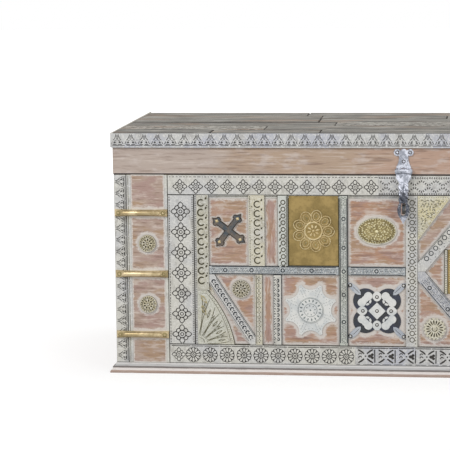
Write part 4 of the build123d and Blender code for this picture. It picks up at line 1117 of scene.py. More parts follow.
class CHEST_OT_bands(bpy.types.Operator):
    """Carves the frame of bands round the field of the front"""

    bl_idname, bl_label = "chest.bands", "Carved bands"

    def execute(self, context):
        dice = random.Random(11)
        loops, face = outlines("side_band_left")
        span = spread(loops[0])
        edges = loops + dashes(*post(span.west + 2.2, span, 2), 3.2, 1.5, 1.5, dice)
        edges += ticks(*post(span.east - 1.9, span, 2), 3.5, 2.6, 1.5)
        carve("side_band_carving", edges, face, diamond_flower(18.7, 1.8), 7, -567.8 + 74.7j, 39.33j)
        slat = rectangle(-541.7, -537.7, 56.3, 341.6)
        edges = [slat] + ticks(-539.9 + 57j, -539.9 + 341j, 3.5, 2.4, 1.5)
        carve("field_edge_slats", edges, BOARD_FACE, depth=3.4)

        # Top band: flowers, a plaited stretch, and one flower on the middle.
        loops, face = outlines("top_band")
        span = spread(loops[0])
        plait_x, flower_x, middle, pitch = 192.9, 20.6, 358.3, 26.47
        edges = [rectangle(span.west, -plait_x - 0.3, span.low, span.high)]
        edges += dashes(*level(span.high - 3.4, span.west + 3, -plait_x - 2), 4.6, 2.6, 1.2, dice)
        carve("top_band_carving", edges, face, diamond_flower(13.5, 1.65), 13, complex(-568.1, middle), 30.1)
        start = complex(-flower_x - pitch / 2, middle + 1.7)
        last = moved(lattice_cell(pitch), start - 6 * pitch)
        edges = [rectangle(-plait_x, -flower_x, span.low + 0.6, span.high)]
        edges += [loop for loop in last if spread(loop).west > 0.4 - plait_x]
        carve("top_band_lattice", edges, face, lattice_cell(pitch), 6, start, complex(-pitch, 0))
        edges = [rectangle(-flower_x + 0.3, flower_x - 0.3, span.low + 0.6, span.high)]
        edges += [slit(post(x, span, 3), 1.3, 1.0) for x in (-18.0, 18.0)]
        carve("top_band_middle", edges, face, diamond_flower(14.6), 1, complex(0, middle + 1.2),
              mirror=False)
        lip = rectangle(-541.7, -143.0, 336.6, 341.9)
        groove = slit([-541 + 339.2j, -143.6 + 339.2j], 1.1, 1.0)
        carve("field_top_lip", [lip, groove], BOARD_FACE, depth=1.4)

        # Bottom band: a corner flower, daisies, crossed blocks, and a narrow panel on the middle.
        loops, face = outlines("bottom_band")
        span = spread(loops[0])._replace(low=PLINTH_TOP)
        blocks_x, middle_x, middle = 237.7, 6.9, 35.3
        edges = [rectangle(span.west, -blocks_x - 0.3, span.low, span.high)]
        edges += dashes(*level(span.high - 2.4, span.west + 3, -blocks_x - 2), 30.0, 1.4, 1.6, dice)
        edges += moved(diamond_flower(13.4), complex(-574.7, middle))
        carve("bottom_band_carving", edges, face, daisy(15.0), 10, complex(-546.8, middle), 32.45 + 0j)
        wide = (blocks_x - middle_x) / 6
        edges = [rectangle(-blocks_x, -middle_x, span.low, span.high)]
        edges += dashes(*level(span.high - 2.2, -blocks_x + 2, -middle_x - 2), 26.0, 1.6, 1.8, dice)
        edges += dashes(*level(span.low + 1.4, -blocks_x + 2, -middle_x - 2), 14.0, 5.0, 1.0, dice)
        start = complex(-blocks_x + wide / 2, middle + 1.4)
        carve("bottom_band_blocks", edges, face, cross_block(), 6, start, complex(wide, 0),
              material="blue limewashed carving")
        lozenge = [9j, 3.4, -9j, -3.4]
        edges = [rectangle(-middle_x + 0.3, middle_x - 0.3, span.low, span.high)]
        edges += moved([lozenge, [p * 0.55 for p in lozenge]], complex(0, middle + 1.4))
        carve("bottom_band_middle", edges, face, mirror=False, material="blue limewashed carving")
        return {"FINISHED"}


class CHEST_OT_cornice(bpy.types.Operator):
    """Carves the leafy cornice of the lid and the matching strips down the corners"""

    bl_idname, bl_label = "chest.cornice", "Cornice and corner strips"

    def execute(self, context):
        dice = random.Random(12)
        edge, pitch = 0.6, 25.4
        for side, facing in (("front", FACE_FRONT), ("left", FACE_LEFT), ("right", FACE_RIGHT)):
            low, high = box("cornice_" + side)
            rise = high.z - low.z
            half = (high.x if side == "front" else (high.y - low.y) / 2) - edge
            border = [rectangle(-half, half, 0.4, rise - edge)]
            border += dashes(*level(4.1, -half + 2, half - 2), 26.0, 3.0, 1.2, dice)
            count = int(2 * half / pitch)
            place = {"front": (0, low.y), "left": (low.x, (low.y + high.y) / 2),
                     "right": (high.x, (low.y + high.y) / 2)}[side]
            carve("cornice_%s_carving" % side, border, motif=moved(palmette(pitch, rise - 6.9), 5.7j),
                  copies=count, start=complex(-(count - 1) / 2 * pitch, 0), step=complex(pitch, 0),
                  place=place + (low.z,), facing=facing, mirror=False, body="lid",
                  material="blue limewashed carving")

        loops, face = outlines("corner_strip_left")
        span = spread(loops[0])._replace(low=PLINTH_TOP)
        edges = [rectangle(*span)]
        for away in (1.2, 3.4):
            edges += dashes(*post(span.east - away, span, 2), 30.0, 1.6, 1.1, dice)
        pitch = 22.3
        count = int((span.high - span.low - 2) / pitch)
        start = complex(span.east - 4.4, (span.low + span.high) / 2 - (count - 1) / 2 * pitch)
        motif = moved(palmette(pitch, span.east - span.west - 5.4, 0.085), 0, 90)
        carve("corner_strip_carving", edges, face, motif, count, start, complex(0, pitch))
        slats = [rectangle(-670.4, -662.7, *span[2:]), rectangle(-598.3, -593.1, *span[2:])]
        slats += dashes(*post(-667.8, span, 2), 40.0, 1.6, 1.2, dice)
        carve("side_board_slats", slats, -225.0, depth=0.7)
        # A thin dark strip along the foot of the lid's front rail: painted shadow of the gap between lid and
        # box.
        low, high = box("lid_rail_front")
        seam = rectangle(low.x + 0.6, high.x - 0.6, low.z + 0.2, low.z + 1.7)
        carve("lid_seam", [seam], low.y, depth=0.3, mirror=False, body="lid", slot="aged_wood",
              material="shadowed ground")
        return {"FINISHED"}


class CHEST_OT_strips(bpy.types.Operator):
    """Carves the inlaid strips between the bays of the field"""

    bl_idname, bl_label = "chest.strips", "Inlaid strips"

    def execute(self, context):
        dice = random.Random(13)
        (loop,), face = left("outer_ring_strips")
        hook = [slit(arc(-2.6, 6.3, 50, 330, 12), 3.0, 0.5), leaf(4.9 + 6.4j, 8.6 + 11.8j, 3.8, 4),
                circle(8.6 - 4.6j, 1.3, 7)]
        strip("outer_ring_carving", loop, face, -526.3 + 169.2j, -526.3 + 336.4j, hook, 18.57, 9, 0.0,
              snug=0.75, material="aged cream inlay")

        (loop,), face = left("inner_ring_strips")
        span = spread(loop)
        small = ring(0, 4.4, 1.7, 12) + [circle(-6.5 + 6.2j, 1.8, 7)]
        strip("inner_ring_carving", loop, face, *post(-130.7, span, 3), small, 12.4, turn=0.0, snug=0.75,
              cuts=dots(*post(span.east - 2.7, span, 2), 6.0, 1.2), material="limewashed carving")

        loops, face = left("cream_strips")
        lower, upper = sorted(loops, key=lambda loop: spread(loop).low)
        span = spread(upper)
        hook = [slit(arc(0, 6.0, 40, 330, 12), 2.6, 0.5), leaf(6.8 + 5.8j, 9.6 + 11.0j, 3.4, 4),
                circle(-5.6 + 8.2j, 1.0, 6)]
        cuts = dashes(*post(span.west + 2, span, 1), 2.8, 1.4, 1.2, dice)
        cuts += [circle(complex(span.west + 5.6, z), 1.1, 7) for z in (228.3, 257.4, 293.3, 320.5)]
        strip("cream_strip_carving", upper, face, -421.8 + 209.2j, -421.8 + 333.8j, hook, 17.8, 7, 0.0,
              cuts=cuts, snug=0.75)
        span = spread(lower)
        motif = [circle(p, 1.15, 6) for p in (2.6j, 2.4, -2.6j, -2.4)]
        motif += [slit([-1.2 + 5.0j, 1.2 + 5.0j], 1.3)]
        ends = post((span.west + span.east) / 2 + 0.6, span, 2)
        strip("lower_cream_carving", lower, face, *ends, motif, 9.2, turn=0.0, snug=0.75,
              cuts=[slit(post(span.west + 1.2, span, 1), 1.3, 1.0)])

        (loop,), face = left("green_strips")
        span = spread(loop)
        curl = ring(0, 4.0, 2.0, 12)
        curl += [leaf(-4.7 - 3.0j, -7.4 - 9.0j, 3.4, 4), slit([4.4 - 4.8j, 4.4 - 8.2j], 1.8)]
        groove = [complex(span.east - 1.6, span.low + 1), complex(span.east - 1.4, span.high - 1)]
        strip("green_strip_carving", loop, face, -373.0 + 206.4j, -373.0 + 335.2j, curl, 12.88, 10, 0.0,
              cuts=[slit(groove, 1.5, 1.0)], material="green-grey inlay")

        (loop,), face = left("dark_strips")
        span = spread(loop)
        veins = [slit(arc(-0.4, 3.0, -110, 110, 7), 2.2), circle(-4.6 + 2.0j, 1.2, 6), circle(-1.2, 1.0, 6)]
        strip("dark_strip_carving", loop, face, *post(-384.4, span, 2), veins, 9.4, turn=0.0,
              cuts=ticks(*post(span.west + 1.3, span, 2), 5.0, 1.6, 2.2), material="limewashed carving")

        (loop,), face = left("tall_strips")
        ends = post(-259.2, spread(loop), 1)
        flowers = [complex(-259.2, z) for z in (101.5, 153.5, 198.0, 243.0, 298.0)]
        strip("tall_strip_carving", loop, face, *ends, lines=((6.3, 1.7), (-6.1, 1.4)),
              cuts=chiselled(*ends, 9.4, dice, flowers), material="dull green inlay")

        (loop,), face = left("centre_strips")
        span = spread(loop)
        strip("centre_strip_carving", loop, face, *post((span.west + span.east) / 2, span, 1),
              [circle(0, 1.1, 6)], 4.2)

        loops, face = left("rail_strips")
        flowers = ((-483.7, -433.6, -374.3, -319.8), (-197.6,))
        for number, (loop, spots) in enumerate(zip(loops, flowers)):
            ends = level(199, spread(loop).west + 1, spread(loop).east - 1)
            strip("rail_strip_carving_%d" % number, loop, face, *ends, lines=((6.5, 1.3), (-6.5, 1.3)),
                  cuts=chiselled(*ends, 9.4, dice, [complex(x, 199) for x in spots]),
                  material="blue-grey inlay")
        return {"FINISHED"}


class CHEST_OT_boards(bpy.types.Operator):
    """Faces the bays of the field, the side boards and the ends with painted wood"""

    bl_idname, bl_label = "chest.boards", "Painted boards"

    def execute(self, context):
        top = 336.2
        star, fret, cross = largest("stars", 1), largest("fret_plates"), largest("iron_crosses")
        bays = {  # Name: outline, tone, whether the grain runs up, and what stands on the board.
            "cross_bay": (rectangle(-514.9, -438.9, RAIL_HIGH, top), 0.4, 0, grown(cross, -2.0)),
            "upper_slip": (rectangle(-408.9, -383.8, RAIL_HIGH, top), 0.25, 1),
            "oval_bay": (rectangle(-251.0, -142.7, RAIL_HIGH, top), 0.12, 0, ellipse(OVAL, 38.5, 27.0, 40)),
            "star_bay": (rectangle(-376.9, -268.0, FIELD_LOW, RAIL_LOW), 0.2, 0, grown(star, 2.0)),
            "lower_slip": (rectangle(-413.7, -392.9, FIELD_LOW, RAIL_LOW), 0.3, 1),
            "fret_bay": (rectangle(-251.0, -142.7, FIELD_LOW, RAIL_LOW), 0.3, 0, grown(fret, 3.0)),
            "wedge_bay": ([complex(-504.4, RAIL_LOW), -427.4 + 72j, complex(-427.4, RAIL_LOW)], 0.18, 0,
                          circle(WEDGE_FLOWER, 18.5, 24)),
            "lower_corner_bay": ([complex(-120.4, FIELD_LOW), complex(-14.3, FIELD_LOW), -120.4 + 182j],
                                 0.3, 0, circle(CENTRE_FLOWER, 23.0, 24)),
            "upper_corner_bay": ([-120.4 + 258j, -120.4 + 216j, complex(-14.3, FIELD_HIGH),
                                  complex(-57.0, FIELD_HIGH)], 0.8, 0),
            "lower_centre_bay": ([-0.05 + 72j, -0.05 + 157j, -71.5 + 157j], 0.3, 0),
            "upper_centre_bay": ([-0.05 + 241j, -0.05 + 326j, -71.5 + 241j], 0.35, 0),
            "inner_centre_bay": ([-106.6 + 199j, -71.0 + 157j, -71.0 + 241j], 0.3, 0),
            "fan_spandrel_bay": ([-536.9 + 189.9j, -536.9 + 160.6j, -518.0 + 160.6j, -501.5 + 139.8j,
                                  -487.9 + 117.5j, -476.9 + 93.6j, -469.2 + 68.6j, -466.9 + 56.4j,
                                  -438.3 + 56.4j, -525.4 + 189.9j], 0.7, 0),
        }
        for name, (border, tone, upright, *clear) in bays.items():
            board_panel(name, border, BOARD_FACE, tone, upright, clear)
        marks = [rectangle(-694, -592.9, z - 6.4, z + 6.4) for z in STRAP_HEIGHTS]
        marks += [circle(complex(SIDE_X, z), 17.5, 24) for z in (132.3, 249.3)]
        for name, facing, way in (("left", FACE_LEFT, -1), ("right", FACE_RIGHT, 1)):
            low, high = sorted((-219.4 * way, 224.4 * way))
            rows = ((19.0, 142.4), (143.6, 262.4), (263.6, 380.4))
            planks = [rectangle(low, high, *row) for row in rows]
            carve("end_planks_" + name, planks, facing=facing, place=(CHEST_END * way, 0, 0), depth=0.8,
                  mirror=False, slot="aged_wood", material="end boards")
        board_panel("side_board_face", rectangle(-662.5, -598.5, 19.0, 380.6), -225.0, 0.9, 0, marks, 2.2)
        return {"FINISHED"}


class CHEST_OT_slanted(bpy.types.Operator):
    """Carves the slanted strips, the fans and the leafy corners of the field"""

    bl_idname, bl_label = "chest.slanted", "Slanted strips and fans"

    def execute(self, context):
        dice = random.Random(14)
        (loop,), face = left("diagonal_strips")
        curl = [slit(arc(0.4, 3.4, -110, 110, 8), 2.6), leaf(-4.6 - 2.8j, -0.4 - 0.2j, 2.2, 4),
                circle(-3.6 + 2.6j, 1.4, 6)]
        strip("diagonal_strip_carving", loop, face, -432.45 + 63.95j, -509.65 + 182.25j, curl, 10.6,
              lines=((7.2, 1.0), (-7.2, 1.0)), material="limewashed carving")

        loops, face = left("diamond_strips")
        lower, upper = sorted(loops, key=lambda loop: spread(loop).low)
        motif = ring(3.2j, 4.1, 1.7, 12) + [slit([3.2 - 1.8j, 5.0 - 4.8j], 1.4), circle(-7.4j, 1.0, 6)]
        strip("upper_diamond_carving", upper, face, -109.5 + 212.3j, -9.5 + 331.3j, motif, 13.0,
              lines=((9.2, 0.9),), material="limewashed carving")
        start, end = -109.5 + 185.7j, -9.5 + 66.7j
        ahead = (end - start) / abs(end - start)
        flowers = [start + ahead * (at - 2.4j) for at in (20.5, 73.0, 88.0, 126.0)]
        strip("lower_diamond_carving", lower, face, start, end, lines=((7.9, 0.8), (9.4, 0.7), (-8.9, 1.5)),
              cuts=chiselled(start, end, 12.6, dice, flowers), material="lavender limewash")

        (loop,), face = left("corner_carvings")
        bead_line = grown(loop, -2.6)
        edges = [loop] + tangle(grown(loop, -3.8), 5.4, 1.6, dice)
        for a, b in zip(bead_line, bead_line[1:] + bead_line[:1]):
            edges += dots(a, b, 4.4, 0.75)
        carve("corner_leaf_carving", edges, face, material="gilded carving")

        # Fan: ribs and leaves that spread from the corner of the field, inside a beaded rim.
        (loop,), face = left("fan_panels")
        corner = -537.3 + 55.9j

        def out(far, angle):
            return corner + cmath.rect(far, angle)

        def rim(inset, low=5, high=85, points=16):
            angles = [math.radians(low + (high - low) * k / points) for k in range(points + 1)]
            return [out(reach_in([loop], corner, a) - inset, a) for a in angles]

        edges = [loop, slit(rim(5.6), 1.0), slit(arc(corner, 13.0, 9, 81, 6), 1.1)]
        edges += [circle(p, 0.9, 6) for p in rim(2.8, 6, 84, 20)]
        for k in range(9):
            angle = math.radians(90 * (k + 0.5) / 9)
            aside, bend = angle + math.radians(5), math.radians(7 if k % 2 else -7)
            far = reach_in([loop], corner, angle) - 9.5
            stem = curve(out(17.0, angle), out(far * 0.6, angle + bend), out(far, angle), 6)
            edges.append(slit(stem, 1.5, 0.6))
            if k < 8:
                edges.append(leaf(out(far * 0.66, aside), out(far * 0.92, aside), 4.2, 5))
                edges.append(leaf(out(far * 0.72, aside), out(far * 0.86, aside), 1.6, 4))
        carve("fan_carving", edges, face, material="moss carving")
        tall = [leaf(-531 + 150j, -519 + 134j, 7.0, 6), leaf(-530 + 131j, -521 + 112j, 7.0, 6)]
        carve("fan_leaves", tall + [grown(one, -1.6) for one in tall], face, depth=1.7,
              material="olive gilding")
        leaves = [leaf(-534 + 166j, -519 + 178j, 8.0, 6), leaf(-517 + 168j, -505 + 151j, 6.0, 6)]
        carve("spandrel_leaves", leaves + [grown(one, -1.6) for one in leaves], -220.3, depth=1.6,
              material="gilded carving")
        return {"FINISHED"}


class CHEST_OT_brass(bpy.types.Operator):
    """Beats the leaves and ropes into the brass plates and bosses, and rivets the straps"""

    bl_idname, bl_label = "chest.brass", "Brass work"

    def execute(self, context):
        # Flower plate: looped petals with doubled rope edges round a starred heart.
        petals = [cmath.rect(1, math.radians(-1.5 + 40 * k)) for k in range(9)]
        loops = [ellipse(FLOWER + 28.4 * way, 11.0, 9.7, 26, cmath.phase(way)) for way in petals]
        beads("petal_ropes", loops, -223.0, 3.2, 2.2, 1.8, 2.4, "pale gilding", 24)
        loops = [ellipse(FLOWER + 27.6 * way, 7.0, 5.6, 20, cmath.phase(way)) for way in petals]
        beads("petal_inner_ropes", loops, -223.0, 2.8, 1.8, 1.6, 2.2, "pale gilding", 24)
        hearts, pips = bmesh.new(), bmesh.new()
        face = outlines("flower_plates")[1]
        profile = [(17.4, -1.4), (17.4, 0.9), (16.4, 1.5), (15.4, 0.9), (14.6, -0.5)]
        turned_form(hearts, FLOWER, profile, face, 32)
        for way in ways(8, 0.3):
            heap(hearts, leaf(FLOWER + 3.4 * way, FLOWER + 12.6 * way, 3.6, 4, 1.3), face,
                 [(1, 0), (0.8, 0.9), (0.3, 1.5)])
        heap(hearts, circle(FLOWER, 2.4, 10), face, domed(1.6, 2))
        finish_shape("flower_hearts", hearts, "brass", "pale gilding")
        for way in petals:
            heap(pips, leaf(FLOWER + 24.0 * way, FLOWER + 31.6 * way, 3.6, 5), -223.1,
                 [(1, 0), (0.7, 0.9), (0.25, 1.3)])
        finish_shape("petal_pips", pips, "brass", "dark repousse ground")

        # Oval boss: leaves beaten over a dome, inside a pale rim with beads along it.
        loops = [ellipse(OVAL, 33.6, 22.6, 40)]
        beads("oval_rim_beads", loops, PLATE_FACE, 3.4, 2.6, 2.0, 4.7, "gilt repousse brass")
        shape = bmesh.new()
        cord_on(shape, ellipse(OVAL, 36.4, 25.2, 48), 1.5, PLATE_FACE, closed=True)
        finish_shape("oval_rims", shape, "brass", "cream inlay")

        def dome(p):
            away = abs(complex((p - OVAL).real / OVAL_WIDE, (p - OVAL).imag / OVAL_HIGH))
            return -221.5 - 6.0 * min(1.0, max(0.0, (1 - away) / 0.19))

        shape, dice = bmesh.new(), random.Random(21)
        for ring_at, count, long in ((0.84, 30, 5.6), (0.64, 23, 5.8), (0.45, 16, 5.8), (0.26, 9, 5.6)):
            for k in range(count):
                angle = 2 * math.pi * (k + 0.5 * (ring_at < 0.7) + dice.uniform(-0.3, 0.3)) / count
                out = complex(OVAL_WIDE * math.cos(angle), OVAL_HIGH * math.sin(angle))
                mid = OVAL + out * (ring_at + dice.uniform(-0.05, 0.05))
                way = cmath.rect(1, cmath.phase(out) + dice.uniform(-1.2, 1.2))
                half = way * long / 2
                outline = leaf(mid - half, mid + half, long * dice.uniform(0.34, 0.5), 4, 0.9)
                heap(shape, outline, dome, [(1, -0.3), (0.75, 0.9), (0.25, 1.7)])
        heap(shape, ellipse(OVAL, 3.6, 2.8, 12), dome, domed(2.4, 2))
        finish_shape("oval_leaves", shape, "brass", "gilt repousse brass")

        # Centre plate: a large flower among leaves, inside a beaded border.
        low, high = box("centre_plate")
        edge, middle = 3.4, complex(0, (low.z + high.z) / 2)
        border = rectangle(low.x + edge, high.x - edge, low.z + edge, high.z - edge)
        beads("centre_plate_beads", [border], -221.5, 3.0, 2.6, 1.4, 4.0, "pale gilding", mirror=False)
        shape = bmesh.new()
        for count, near, far, wide, lift in ((16, 17.0, 31.0, 5.0, 1.6), (12, 6.5, 16.5, 4.2, 2.4)):
            for way in ways(count):
                heap(shape, leaf(middle + near * way, middle + far * way, wide, 5, 1.1), PLATE_FACE,
                     [(1, 0), (0.8, lift * 0.7), (0.25, lift)])
        heap(shape, circle(middle, 6.0, 14), PLATE_FACE, domed(3.4, 3))
        for sx, sz in ((-1, -1), (-1, 1), (1, -1), (1, 1)):
            root = middle + complex(57 * sx, 35 * sz)
            for k in range(-2, 3):
                way = cmath.rect(1, math.atan2(-sz, -sx) + k * 0.42)
                heap(shape, leaf(root + 2 * way, root + (24 - 3 * abs(k)) * way, 5.0, 4), -221.5,
                     [(1, 0), (0.8, 0.9), (0.3, 1.4)])
        finish_shape("centre_plate_leaves", shape, "brass", "gilt repousse brass", mirror=False)

        # Straps: a half-round bar between scalloped washers, each with a rivet.
        rivets, washers, bars = bmesh.new(), bmesh.new(), bmesh.new()
        for height in STRAP_HEIGHTS:
            for x in (-686.0, -600.4):
                spot = complex(x, height)
                turned_form(washers, spot, [(4.6, -0.2), (4.6, 0.6), (3.0, 0.9)], -232.0, 20, scallop=0.09)
                heap(rivets, circle(spot, 2.4, 12), -232.4, domed(2.2, 2))
            path = [complex(x, height) for x in (-679.5, -676.0, -640.0, -610.0, -607.0)]
            cord_on(bars, path, 5.0, -230.4, sides=12, ends=0.7)
        finish_shape("strap_bars", bars, "brass", "polished brass bar")
        finish_shape("strap_rivets", rivets, "brass", "polished brass bar")
        finish_shape("strap_washers", washers, "brass", "dark repousse ground")
        return {"FINISHED"}


class CHEST_OT_tin(bpy.types.Operator):
    """Pricks and paints the tin stars and cuts the tin frets"""

    bl_idname, bl_label = "chest.tin", "Tin star and fret"

    def execute(self, context):
        white = {"slot": "white_metal", "material": "white painted tin"}
        loops, face = left("stars", 1)
        round_edge, star = sorted(loops, key=lambda loop: abs(area(loop)))
        edge_line = grown(star, -3.4)
        pricks = [circle(spot, 0.75, 5) for spot in edge_line[::2]
                  if gap_to(spot, star) > 2.4 and gap_to(spot, round_edge) > 1.6]
        for way in ways(8, 0.5):
            pricks.append(circle(STAR + 46.4 * way, 1.5, 8))
            pairs = [(complex(at, 2.8 * side), complex(at + 3.0, 2.4 * side))
                     for side in (1, -1) for at in (27.6, 32.4, 37.2)]
            pricks += [slit([STAR + way * near, STAR + way * far], 1.0) for near, far in pairs]
        kept = []
        for prick in pricks:
            middle = sum(prick) / len(prick)
            if all(abs(middle - sum(other) / len(other)) > 2.2 for other in kept):
                kept.append(prick)
        # The grey star plate under this sheet shows through the pricks as painted shade of punched dents.
        carve("star_sheet", [star, round_edge] + kept, face, depth=0.5, **white)
        edges = [circle(STAR, 24.2, 40)]
        edges += [leaf(STAR + 15.4 * way, STAR + 21.2 * way, 3.0, 4, 1.0) for way in ways(16, 0.3)]
        edges += [ellipse(STAR + 8.6 * way, 1.5, 1.0, 7, cmath.phase(way)) for way in ways(8, 0.2)]
        edges += [circle(STAR, 1.7, 8)] + ring(STAR, 12.4, 0.9, 28) + ring(STAR, 22.9, 0.9, 36)
        carve("star_heart", edges, outlines("stars")[1], depth=0.5, **white)

        # Fret: four two-lobed bodies, four arms and a heart, all white, with a leaf to each corner.
        face = outlines("fret_plates")[1]
        lobes = [circle(-6.1 + 6.1j, 8.0, 16), circle(6.1 - 6.1j, 8.0, 16)]
        lobes.append(ellipse(0, 9.0, 6.6, 16, -QUARTER / 2))
        body = moved([outline_round(lobes, 44)], 22.4 + 22.0j)
        arm = [37.0 - 3.0j, 37.0 + 3.0j, 31.5 + 8.0j, 24.5 + 8.3j, 20.0 + 4.6j, 17.9, 20.0 - 4.6j,
               24.5 - 8.3j, 31.5 - 8.0j]
        tip = moved([leaf(43.0, 76.0, 11.5, 8, 1.0, 0.5), slit([48.0 + 0.8j, 64.0 + 0.6j], 1.6)], 0, 45)
        veins = [leaf(21.4 + 11.2j, 12.6 + 14.6j, 4.2, 5), leaf(11.2 + 21.4j, 14.6 + 12.6j, 4.2, 5)]
        lace = [[16.2, 16.2j, -16.2, -16.2j]] + round_about(4, arm, *veins)
        quarters = ((1, 1), (-1, 1), (-1, -1), (1, -1))
        lace += [loop for quarter in quarters for loop in flipped(body, *quarter)]
        tips = [loop for quarter in quarters for loop in flipped(tip, *quarter)]
        carve("fret_lace", moved(lace, FRET), face, depth=1.6, stands_for=("fret_scrolls",), **white)
        carve("fret_leaves", moved(tips, FRET), face, depth=1.1, slot="white_metal",
              material="grey painted tin")
        nails, rims = bmesh.new(), bmesh.new()
        for spot in [0, 26.6, -26.6, 26.6j, -26.6j] + [complex(50 * sx, 49 * sz) for sx, sz in quarters]:
            turned_form(rims, FRET + spot, [(3.5, 0.5), (3.5, 1.9), (2.4, 2.1)], face, 14)
            heap(nails, circle(FRET + spot, 2.1, 10), face - 1.6, domed(1.5, 2))
        finish_shape("fret_nails", nails, **white)
        finish_shape("fret_nail_rims", rims, "iron", "blackened iron edge")
        return {"FINISHED"}


class CHEST_OT_iron(bpy.types.Operator):
    """Lays the iron crosses' worn faces and studs, winds the straps' twists and sets their screws"""

    bl_idname, bl_label = "chest.iron", "Crosses and hasps"

    def execute(self, context):
        face = outlines("iron_crosses")[1]
        carve("cross_faces", [grown(largest("iron_crosses"), -1.7)], face, depth=0.6, slot="iron",
              material="forged iron")
        studs = bmesh.new()
        for k in range(4):
            way = cmath.rect(28.2, math.radians(51.5 + 90 * k))
            square = [CROSS + way + cmath.rect(3.5, QUARTER * (n + 0.5) + 0.3) for n in range(4)]
            heap(studs, square, face, [(1, 0.4), (1, 1.4), (0.55, 2.6), (0.2, 2.9)])
        finish_shape("cross_studs", studs, "brass", "pale gilding", smooth=False)
        heads, rims = bmesh.new(), bmesh.new()
        low, high = box("hasp_plate_left")
        middle = (low.x + high.x) / 2
        for spot in (complex(middle - 11.9, 423.9), complex(middle + 11.9, 423.9), complex(middle, 407.0)):
            turned_form(rims, spot, [(3.6, -0.2), (3.6, 0.5), (2.4, 0.8)], -228.5, 16)
            heap(heads, circle(spot, 2.3, 12), -229.0, domed(1.3, 2))

        # Twist: three flattened strands wound once round each shank, which leans out from its pin.
        for side in ("left", "right"):
            low, high = box("hasp_pin_" + side)
            twist = bmesh.new()
            for strand in range(3):
                path = []
                for k in range(19):
                    way = cmath.rect(6.6 - 1.2 * k / 18, 2 * math.pi * (k / 18 + strand / 3))
                    path.append((complex(way.real, -23.0 - 36.0 * k / 18), way.imag))
                cord_on(twist, path, 3.7, 0.0, sides=8, ends=0.6)
            flat = Matrix.Diagonal((1, 0.48, 1))
            bmesh.ops.transform(twist, matrix=Matrix.Rotation(-HASP_LEAN, 3, "X") @ flat, verts=twist.verts)
            bmesh.ops.translate(twist, vec=(low + high) / 2, verts=twist.verts)
            finish_shape("hasp_twist_" + side, twist, "iron", "galvanised hasp iron", "hasp_" + side,
                         mirror=False)
        finish_shape("hasp_screw_rims", rims, "iron", "blackened iron edge", "lid")
        finish_shape("hasp_screws", heads, "iron", "galvanised hasp iron", "lid")
        return {"FINISHED"}


class CHEST_OT_rosettes(bpy.types.Operator):
    """Carves the round flowers of the side boards and of the field"""

    bl_idname, bl_label = "chest.rosettes", "Rosettes"

    def execute(self, context):
        face = outlines("side_rosettes")[1]
        drawing = [circle(0, 15.9, 32)] + round_about(20, slit(arc(0, 13.3, -5.6, 5.6, 3), 2.1, 0.8))
        drawing += ring(0, 11.1, 1.1, 24) + round_about(9, leaf(4.2, 9.7, 3.2, 4, 1.2))
        drawing += ring(0, 2.5, 1.1, 10)
        edges = [loop for z in (132.25, 249.25) for loop in moved(drawing, complex(SIDE_X, z), 4)]
        carve("side_rosette_carving", edges, face, depth=1.6, material="creamy rosette")

        face = outlines("field_rosettes")[1]
        drawing = [circle(0, 16.9, 32)] + round_about(20, slit(arc(0, 14.6, -5.2, 5.2, 3), 2.1, 0.8))
        drawing += ring(0, 12.0, 1.1, 26) + round_about(9, leaf(4.4, 10.4, 3.6, 5, 1.3))
        drawing += ring(0, 2.8, 1.2, 10)
        carve("wedge_rosette_carving", moved(drawing, WEDGE_FLOWER, 10), face, depth=1.6,
              material="olive limewash")
        drawing = [scalloped(21.0, 17, 0.06)] + round_about(17, leaf(7.2, 17.0, 2.7, 6, 1.4, 0.6))
        drawing += round_about(17, slit(arc(18.3, 1.3, -120, 100, 5), 1.1), start=360 / 34)
        drawing += [slit(arc(0, 4.7, 130, 400, 9), 1.5), slit([-1.0 - 2.2j, -1.0 + 2.0j], 0.9),
                    slit([1.3 - 2.2j, 1.3 + 1.0j], 0.9)]
        carve("centre_rosette_carving", moved(drawing, CENTRE_FLOWER, 12), face, depth=1.8,
              material="cream inlay")
        return {"FINISHED"}


class CHEST_OT_lid_top(bpy.types.Operator):
    """Lays the old boards of the lid, each with its own tone and worn edges, and painted shade down their
    sides
    """

    bl_idname, bl_label = "chest.lid_top", "Lid boards"

    def execute(self, context):
        dice = random.Random(31)
        low, high = box("lid_planks")
        rows, joint, edge, shortest, longest = 6, 1.4, 1.4, 180, 420
        depth = (high.y - low.y) / rows
        shape = bmesh.new()
        tones, shaded_sides = (shape.verts.layers.float.new(k) for k in ("tone", "seam"))
        for row in range(rows):
            cuts = [low.x]
            while cuts[-1] < high.x - longest:
                cuts.append(cuts[-1] + dice.uniform(shortest, longest))
            cuts.append(high.x)
            y0, y1 = low.y + row * depth + (joint if row else 0), low.y + (row + 1) * depth
            for x0, x1 in zip(cuts, cuts[1:]):
                x0 += joint if x0 > low.x else 0
                tone, sunk = dice.random(), dice.uniform(0.0, 1.8)
                top, rings = high.z - sunk, []
                for inset, z in ((0.0, low.z), (0.0, top - edge), (edge, top)):
                    corners = rectangle(x0 + inset, x1 - inset, y0 + inset, y1 - inset)
                    rings.append([shape.verts.new((p.real, p.imag, z)) for p in corners])
                    # The upper side ring gets seam 1: painted shade in the joints between boards.
                    for vert in rings[-1]:
                        vert[tones], vert[shaded_sides] = tone, len(rings) == 2
                skin(shape, rings)
        finish_shape("lid_boards", shape, "weathered_lid", "weathered lid boards", "lid", False, False,
                     ("lid_planks",))
        return {"FINISHED"}


